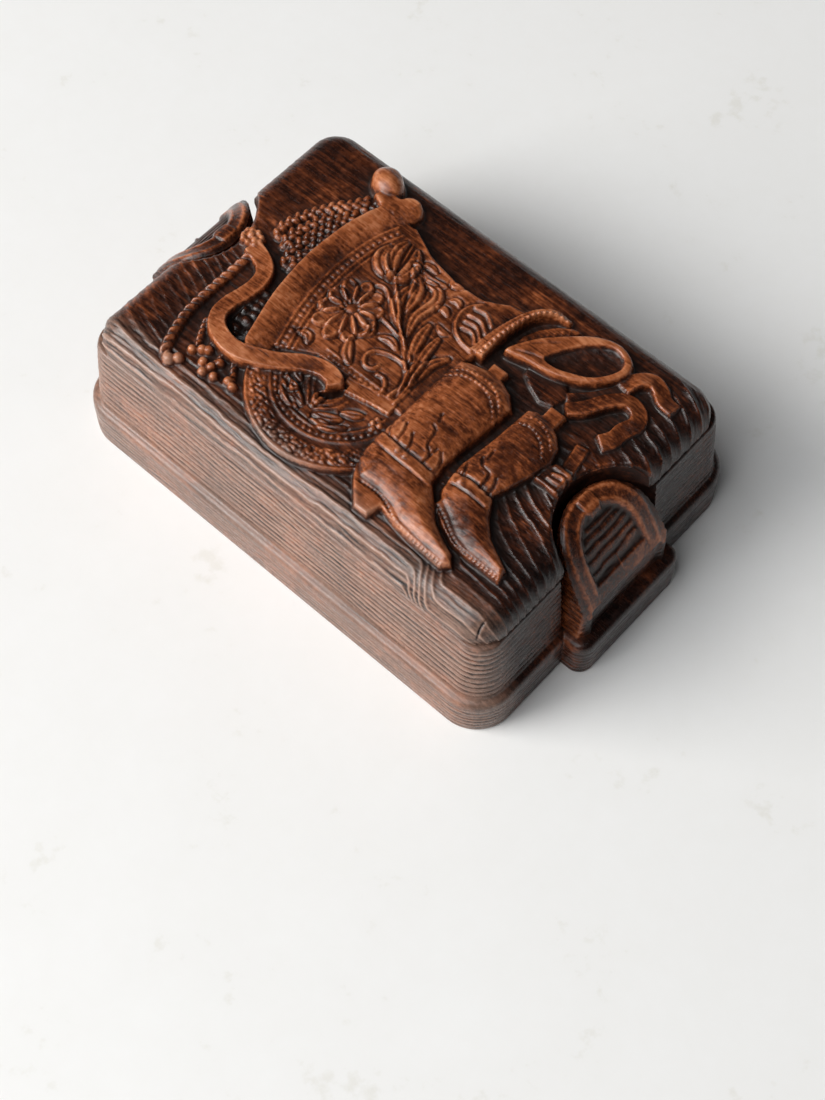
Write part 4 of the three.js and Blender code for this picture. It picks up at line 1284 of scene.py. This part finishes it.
def cloth_piece(name, outline, z0, z1, material, cell, swell, seed):
    """A flat lining cut to an outline, with a soft, slightly uneven top."""
    outline = np.asarray(outline, float)
    low, high = outline.min(0), outline.max(0)
    sheet = Sheet(low[0] - cell, high[0] + cell, low[1] - cell, high[1] + cell, cell)
    at, depth = sheet.inside(outline, 2 * cell)
    edge = np.zeros(sheet.X.shape)
    edge[at] = depth
    soft = swell * (0.5 + 0.5 * noise(sheet.X, sheet.Y, 11, seed)) * smooth(edge, 0, 1.5)
    place = np.stack([sheet.X, sheet.Y, z1 - swell + soft], -1)
    piece = closed_sheet(name, place, z0 - 1, [material], {})
    combine(piece, prism("outline", outline, z0, z1 + 2, material), "INTERSECT")
    finish_surface(piece)
    return piece


def arched_outline(half_x, half_y, bulge):
    """A rounded rectangle whose short sides go round the lugs."""
    points = []
    for side in (1, -1):
        out, off = (0, 0) if side > 0 else (FAR_LUG_OUT, FAR_LUG_SIDE)
        length, half = LUG_LENGTH + bulge, LUG_HALF + bulge
        centre = LUG_CENTRE + out
        start = half * math.sqrt(1 - ((centre - half_x) / length) ** 2)
        spread = np.linspace(-start, start, 33)
        bite = [(centre - length * math.sqrt(1 - (y / half) ** 2), y + off * side) for y in spread]
        right = [(x, y) for x, y in rounded_rect(half_x, half_y, CAVITY_CORNER) if x > 0]
        lower = [p for p in right if p[1] < 0]
        upper = [p for p in right if p[1] > 0]
        points += [(side * x, side * y) for x, y in lower + bite + upper]
    return points


def wall_cloth(material, cell):
    """The velvet strip that stands round the inside of the base."""
    outer = np.array(arched_outline(wall_high[0], wall_high[1], BULGE + CLEAR), float)
    (points, outward, marks), length = even_ring(outer, cell)
    z = np.linspace(wall_low[2], wall_high[2], int((wall_high[2] - wall_low[2]) / cell))
    heights = np.concatenate([z, z[::-1]])
    front = np.concatenate([np.zeros(len(z)), np.ones(len(z))])
    spans, level = np.meshgrid(marks, heights)
    soft = 0.12 * noise(spans, level, 9, 95)
    depth = front[:, None] * (WALL_CLOTH + soft)
    flat = points[None] - outward[None] * depth[..., None]
    place = np.concatenate([flat, level[..., None]], -1)
    rows, columns = depth.shape
    ring = np.arange(rows * columns).reshape(rows, columns)
    wrapped = np.concatenate([ring, ring[:1]], 0)
    wrapped = np.concatenate([wrapped, wrapped[:, :1]], 1)
    faces = np.stack([wrapped[:-1, :-1], wrapped[:-1, 1:], wrapped[1:, 1:], wrapped[1:, :-1]], -1)
    faces = faces.reshape(-1, 4)
    piece = mesh_object("wall_lining_velvet", place.reshape(-1, 3), faces.tolist(), [material])
    piece.data.polygons.foreach_set("use_smooth", np.ones(len(piece.data.polygons), bool))
    return piece, length


# ---- materials ----
SHEEN_START, SHEEN_END = -44, -56          # Y where the painted sheen on the front side starts, and where it is full
SHEEN_MOST = 0.55                         # share of the painted sheen's colour there


class Look:
    """A procedural material, built node by node."""

    def __init__(self, name, **sockets):
        self.material = bpy.data.materials.new(name)
        self.material.use_nodes = True
        self.tree = self.material.node_tree
        self.shader = self.tree.nodes["Principled BSDF"]
        for key, value in sockets.items():
            self.shader.inputs[key.replace("_", " ")].default_value = value
        coordinates = self.tree.nodes.new("ShaderNodeTexCoord")
        self.place = coordinates.outputs["Object"]

    def feed(self, socket, value):
        """Links another node's output to a socket, or sets the socket's own value."""
        if isinstance(value, bpy.types.NodeSocket):
            self.tree.links.new(value, socket)
        else:
            socket.default_value = value

    def node(self, kind, inputs=None, **settings):
        made = self.tree.nodes.new(f"ShaderNode{kind}")
        for key, value in settings.items():
            setattr(made, key, value)
        for key, value in (inputs or {}).items():
            self.feed(made.inputs[key], value)
        return made

    def noise(self, scale, detail=3, rough=0.55, distort=0.0):
        """Noise with features per millimetre along each axis."""
        if not hasattr(scale, "__len__"):
            scale = (scale, scale, scale)
        spread = self.node("Mapping", {"Vector": self.place, "Scale": [1000 * s for s in scale]})
        made = self.node("TexNoise", {"Vector": spread.outputs[0], "Scale": 1.0, "Detail": detail,
                                      "Roughness": rough, "Distortion": distort})
        return made.outputs["Fac"]

    def attribute(self, name):
        return self.node("Attribute", attribute_name=name).outputs["Fac"]

    def math(self, operation, a, b=0.0, clamp=False):
        made = self.node("Math", operation=operation, use_clamp=clamp)
        for socket, value in zip(made.inputs, (a, b)):
            self.feed(socket, value)
        return made.outputs[0]

    def weigh(self, start, *terms):
        """start plus each (socket, weight, middle): weight times the socket's distance from middle."""
        total = start
        for socket, weight, middle in terms:
            term = self.math("MULTIPLY", self.math("SUBTRACT", socket, middle), weight)
            total = self.math("ADD", term, total)
        return total

    def ramp(self, value, stops):
        made = self.node("ValToRGB", {"Fac": value})
        elements = made.color_ramp.elements
        while len(elements) < len(stops):
            elements.new(0.5)
        for element, (position, colour) in zip(elements, stops):
            element.position = position
            element.color = (*colour, 1)
        return made.outputs["Color"]

    def mix(self, factor, a, b):
        made = self.node("Mix", data_type="RGBA")
        for index, value in ((0, factor), (6, a), (7, b)):
            self.feed(made.inputs[index], value)
        return made.outputs[2]

    def set(self, **sockets):
        for key, value in sockets.items():
            self.tree.links.new(value, self.shader.inputs[key.replace("_", " ")])

    def painted_front_sheen(self, streak, crest):
        """How far the front side is paler: a painted sheen that stands in for the window's reflection on it.
        """
        y = self.node("SeparateXYZ", {"Vector": self.place}).outputs["Y"]
        reach = self.node("MapRange", {"Value": y, "From Min": SHEEN_START * MM, "From Max": SHEEN_END * MM,
                                       "To Max": SHEEN_MOST})
        patchy = self.weigh(0.85, (streak, 1.8, 0.5), (crest, 1.3, 0.0))
        return self.math("MULTIPLY", reach.outputs["Result"], patchy, clamp=True)

    def bump(self, value, depth):
        made = self.node("Bump", {"Height": value, "Distance": depth * MM, "Strength": 1.0})
        self.set(Normal=made.outputs["Normal"])


WOOD_TONES = [
    (0.0, (0.004, 0.0016, 0.0011)), (0.28, (0.022, 0.0062, 0.0032)), (0.5, (0.080, 0.0195, 0.0065)),
    (0.72, (0.27, 0.074, 0.024)), (1.0, (0.50, 0.19, 0.085)),
]
HOLLOW_DUST = (0.04, 0.024, 0.017, 1)
# the colour of the painted sheen on the front side
FRONT_SHEEN_COLOUR = (0.32, 0.20, 0.15, 1)
SHELL_TONE, CUT_TONE = 0.46, 0.24        # place in WOOD_TONES of the moulded and the cut faces


def wood_look(name, shell):
    """Dark stained moulded wood: near black in the hollows, reddish brown where it is worn; on the shells
    also painted shade in the recesses, a painted highlight on sharp edges and a painted sheen on the front
    side.
    """
    look = Look(name, Metallic=0.0, IOR=1.38, Coat_Weight=0.2 if shell else 0.0, Coat_Roughness=0.16)
    streak = look.noise((0.05, 0.9, 0.9), 4, 0.6, 0.4)
    pores = look.noise((0.25, 3.2, 3.2), 3, 0.65)
    cloud = look.noise(0.055, 3, 0.5)
    mottle = look.noise(0.35, 4, 0.6)
    terms = [(streak, 0.8, 0.5), (cloud, 0.8, 0.5), (mottle, 0.6, 0.5), (pores, 0.45, 0.5)]
    if shell:
        crest, form, tone_and_shade = (look.attribute(key) for key in ("crest", "form", "tone_and_shade"))
        # crest and form make sharp edges and raised forms paler and the ground round them darker: partly
        # wear, partly painted highlight and painted shade
        terms += [(crest, 0.09, 0.0), (form, 0.16, 0.0), (tone_and_shade, 0.5, 0.0)]
    value = look.weigh(SHELL_TONE if shell else CUT_TONE, *terms)
    value = look.math("ADD", value, 0.0, clamp=True)
    colour = look.ramp(value, WOOD_TONES)
    if shell:
        hollow_part = look.math("MULTIPLY", look.math("MULTIPLY", form, -1.0, clamp=True), 0.45)
        dust = look.math("MULTIPLY", hollow_part, look.math("MULTIPLY", mottle, 0.7), clamp=True)
        colour = look.mix(dust, colour, HOLLOW_DUST)
        # painted sheen: the front side made paler towards -Y, in place of the window's reflection
        colour = look.mix(look.painted_front_sheen(streak, crest), colour, FRONT_SHEEN_COLOUR)
        rough = look.weigh(0.28, (mottle, 0.4, 0.5), (crest, -0.08, 0.0), (form, -0.12, 0.0),
                           (pores, 0.25, 0.5))
    else:
        rough = look.weigh(0.6, (mottle, 0.2, 0.5))
    look.set(Base_Color=colour, Roughness=rough)
    look.bump(look.weigh(0.0, (pores, 0.7, 0.5), (mottle, 0.5, 0.5), (streak, 0.4, 0.5)), 0.16)
    return look.material


def velvet_look():
    """Wine-red velvet, brushed in places."""
    look = Look("velvet", Metallic=0.0, Sheen_Weight=0.7, Sheen_Roughness=0.35)
    look.shader.inputs["Sheen Tint"].default_value = (0.75, 0.2, 0.25, 1)
    pile = look.noise(2.6, 2, 0.7)
    brushed = look.noise((0.09, 0.16, 0.12), 4, 0.6, 0.8)
    value = look.weigh(0.5, (pile, 0.6, 0.5), (brushed, 0.9, 0.5))
    colour = look.ramp(value, [(0.1, (0.022, 0.002, 0.005)), (0.5, (0.075, 0.008, 0.014)),
                               (0.9, (0.16, 0.022, 0.03))])
    look.set(Base_Color=colour, Roughness=look.weigh(0.85, (pile, 0.2, 0.5)))
    look.bump(pile, 0.25)
    return look.material


def felt_look():
    """Dark green felt."""
    look = Look("felt", Metallic=0.0, Sheen_Weight=0.35, Sheen_Roughness=0.6)
    fibre = look.noise((1.4, 2.2, 1.4), 4, 0.75, 1.2)
    cloud = look.noise(0.08, 2, 0.5)
    value = look.weigh(0.5, (fibre, 0.9, 0.5), (cloud, 0.5, 0.5))
    colour = look.ramp(value, [(0.1, (0.006, 0.012, 0.008)), (0.55, (0.018, 0.034, 0.022)),
                               (0.95, (0.05, 0.08, 0.055))])
    look.set(Base_Color=colour, Roughness=look.weigh(0.92, (cloud, 0.1, 0.5)))
    look.bump(fibre, 0.3)
    return look.material


def metal_look(name, dark, mid, light, rough):
    """Tarnished, brushed metal in three tones."""
    look = Look(name, Metallic=1.0)
    tarnish = look.noise(0.35, 4, 0.65, 0.6)
    brushed = look.noise((0.3, 5.0, 5.0), 3, 0.6)
    value = look.weigh(0.55, (tarnish, 1.3, 0.5), (brushed, 0.35, 0.5))
    look.set(Base_Color=look.ramp(value, [(0.15, dark), (0.5, mid), (0.85, light)]),
             Roughness=look.weigh(rough, (tarnish, -0.35, 0.5), (brushed, 0.2, 0.5)))
    look.bump(brushed, 0.03)
    return look.material


def floor_look():
    """A plain pale surface with faint stains."""
    look = Look("floor", Metallic=0.0)
    stain = look.noise(0.028, 5, 0.6, 0.3)
    speck = look.noise(0.16, 3, 0.6)
    value = look.weigh(0.5, (stain, 0.9, 0.5), (speck, 0.6, 0.5))
    colour = look.ramp(value, [(0.25, (0.80, 0.79, 0.755)), (0.36, (0.86, 0.855, 0.84)),
                               (1.0, (0.88, 0.878, 0.87))])
    look.set(Base_Color=colour, Roughness=look.weigh(0.35, (stain, 0.2, 0.5)))
    look.bump(stain, 0.05)
    return look.material


# ---- the room ----
CAMERA_AZIMUTH = math.radians(41.29)     # from -Y towards +X
CAMERA_ELEVATION = math.radians(61.62)
CAMERA_ROLL = math.radians(0.771)
CAMERA_DISTANCE = 651.36
CAMERA_TARGET = np.array([27.15, -25.72, 0.0])
CAMERA_LENS = 65.44                      # on a 36 mm sensor


FLOOR_HALF = 4000
HORIZON_BAND = (("From Min", 0.02), ("From Max", 0.28), ("To Min", 0.6), ("To Max", 0.04))


def add_camera():
    """The camera at the photograph's viewing angle."""
    az, el = CAMERA_AZIMUTH, CAMERA_ELEVATION
    back = np.array([math.sin(az) * math.cos(el), -math.cos(az) * math.cos(el), math.sin(el)])
    right = np.array([math.cos(az), math.sin(az), 0.0])
    up = np.cross(back, right)
    c, s = math.cos(CAMERA_ROLL), math.sin(CAMERA_ROLL)
    axes = np.array([c * right + s * up, -s * right + c * up, back])
    camera = bpy.data.objects.new("camera", bpy.data.cameras.new("camera"))
    bpy.context.scene.collection.objects.link(camera)
    camera.data.lens = CAMERA_LENS
    turn = Matrix([list(row) for row in axes.T]).to_4x4()
    eye = Vector((CAMERA_TARGET + back * CAMERA_DISTANCE) * MM)
    camera.matrix_world = Matrix.Translation(eye) @ turn
    bpy.context.scene.camera = camera


def add_light(name, direction, distance, size, power, colour):
    """A soft area light that faces the box."""
    light = bpy.data.objects.new(name, bpy.data.lights.new(name, "AREA"))
    light.data.shape = "RECTANGLE"
    light.data.size, light.data.size_y = size
    light.data.energy = power
    light.data.color = colour
    towards = Vector(direction).normalized()
    light.location = towards * distance
    light.rotation_euler = towards.to_track_quat("Z", "Y").to_euler()
    bpy.context.scene.collection.objects.link(light)


def add_room():
    """The floor, two lights, and a pale band round the horizon."""
    corners = [(x * FLOOR_HALF, y * FLOOR_HALF, 0) for x, y in ((-1, -1), (1, -1), (1, 1), (-1, 1))]
    floor = mesh_object("floor", corners, [[0, 1, 2, 3]], [floor_look()])
    add_light("window", (-0.62, -0.76, 0.56), 3.2, (2.2, 1.8), 118, (1.0, 0.985, 0.96))
    add_light("sky", (-0.25, -0.85, 1.2), 3.0, (2.6, 2.6), 66, (0.97, 0.985, 1.0))
    world = bpy.data.worlds.new("room")
    world.use_nodes = True
    # pale round the horizon, dim overhead
    nodes, links = world.node_tree.nodes, world.node_tree.links
    height = nodes.new("ShaderNodeSeparateXYZ")
    links.new(nodes.new("ShaderNodeTexCoord").outputs["Generated"], height.inputs[0])
    fade = nodes.new("ShaderNodeMapRange")
    for key, value in HORIZON_BAND:
        fade.inputs[key].default_value = value
    links.new(height.outputs["Z"], fade.inputs["Value"])
    links.new(fade.outputs["Result"], nodes["Background"].inputs["Strength"])
    nodes["Background"].inputs["Color"].default_value = (0.95, 0.97, 1.0, 1)
    bpy.context.scene.world = world
    bpy.context.scene.view_settings.view_transform = "Standard"


# ---- everything ----
add_camera()
add_room()

wood = wood_look("stained_wood", shell=True)
inner_wood = wood_look("bare_wood", shell=False)
velvet = velvet_look()
felt = felt_look()
brass = metal_look("hinge_brass", (0.16, 0.09, 0.03), (0.48, 0.32, 0.12), (0.72, 0.54, 0.26), 0.36)
steel = metal_look("pin_steel", (0.12, 0.10, 0.08), (0.32, 0.28, 0.22), (0.5, 0.46, 0.4), 0.4)

lid = make_lid(wood, inner_wood)
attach(lid, "lid")
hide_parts("lid_shell")

base = make_base(wood, inner_wood)
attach(base, "base")
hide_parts("base_shell")

floor_outline = arched_outline(floor_high[0], floor_high[1], BULGE + CLEAR)
floor_cloth = cloth_piece("floor_lining_velvet", floor_outline, floor_low[2], floor_high[2],
                          velvet, CLOTH, 0.25, 97)
ceiling_outline = [(x, -y) for x, y in arched_outline(ceiling_high[0], ceiling_high[1], LID_BULGE + CLEAR)]
ceiling_cloth = cloth_piece("lid_lining_velvet", ceiling_outline, 0, 0.8, velvet, CLOTH, 0.2, 98)
ceiling_cloth.data.transform(Matrix.Rotation(math.pi, 4, "X"))
ceiling_cloth.data.transform(Matrix.Translation((0, 0, ceiling_high[2] * MM)))
wall_piece, wall_length = wall_cloth(velvet, CLOTH)
felt_outline = rounded_rect(felt_high[0], felt_high[1], CAVITY_CORNER)
felt_pad = cloth_piece("underside_felt_pad", felt_outline, 0, 1, felt, CLOTH, 0.1, 99)
felt_pad.data.transform(Matrix.Rotation(math.pi, 4, "X"))
felt_pad.data.transform(Matrix.Translation((0, 0, felt_high[2] * MM)))


def flat_area(outline):
    """The area of a flat piece, in square metres."""
    return abs(signed_area(np.asarray(outline, float))) * MM * MM


for piece, body, node, slot, outline, rests_on in (
        (floor_cloth, "base", "floor_lining", "velvet_lining", floor_outline, base),
        (ceiling_cloth, "lid", "lid_lining", "velvet_lining", ceiling_outline, lid),
        (felt_pad, "base", "underside_felt", "felt", felt_outline, base)):
    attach(piece, body)
    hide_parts(node)
    low, high = np.min(outline, 0), np.max(outline, 0)
    flat_area(outline)
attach(wall_piece, "base")
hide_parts("wall_lining")

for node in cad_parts:
    if "_hinge_" in node:
        metal = steel if node.endswith("pin") else brass
        obj = bpy.data.objects[node]
        obj.data.materials.clear()
        obj.data.materials.append(metal)
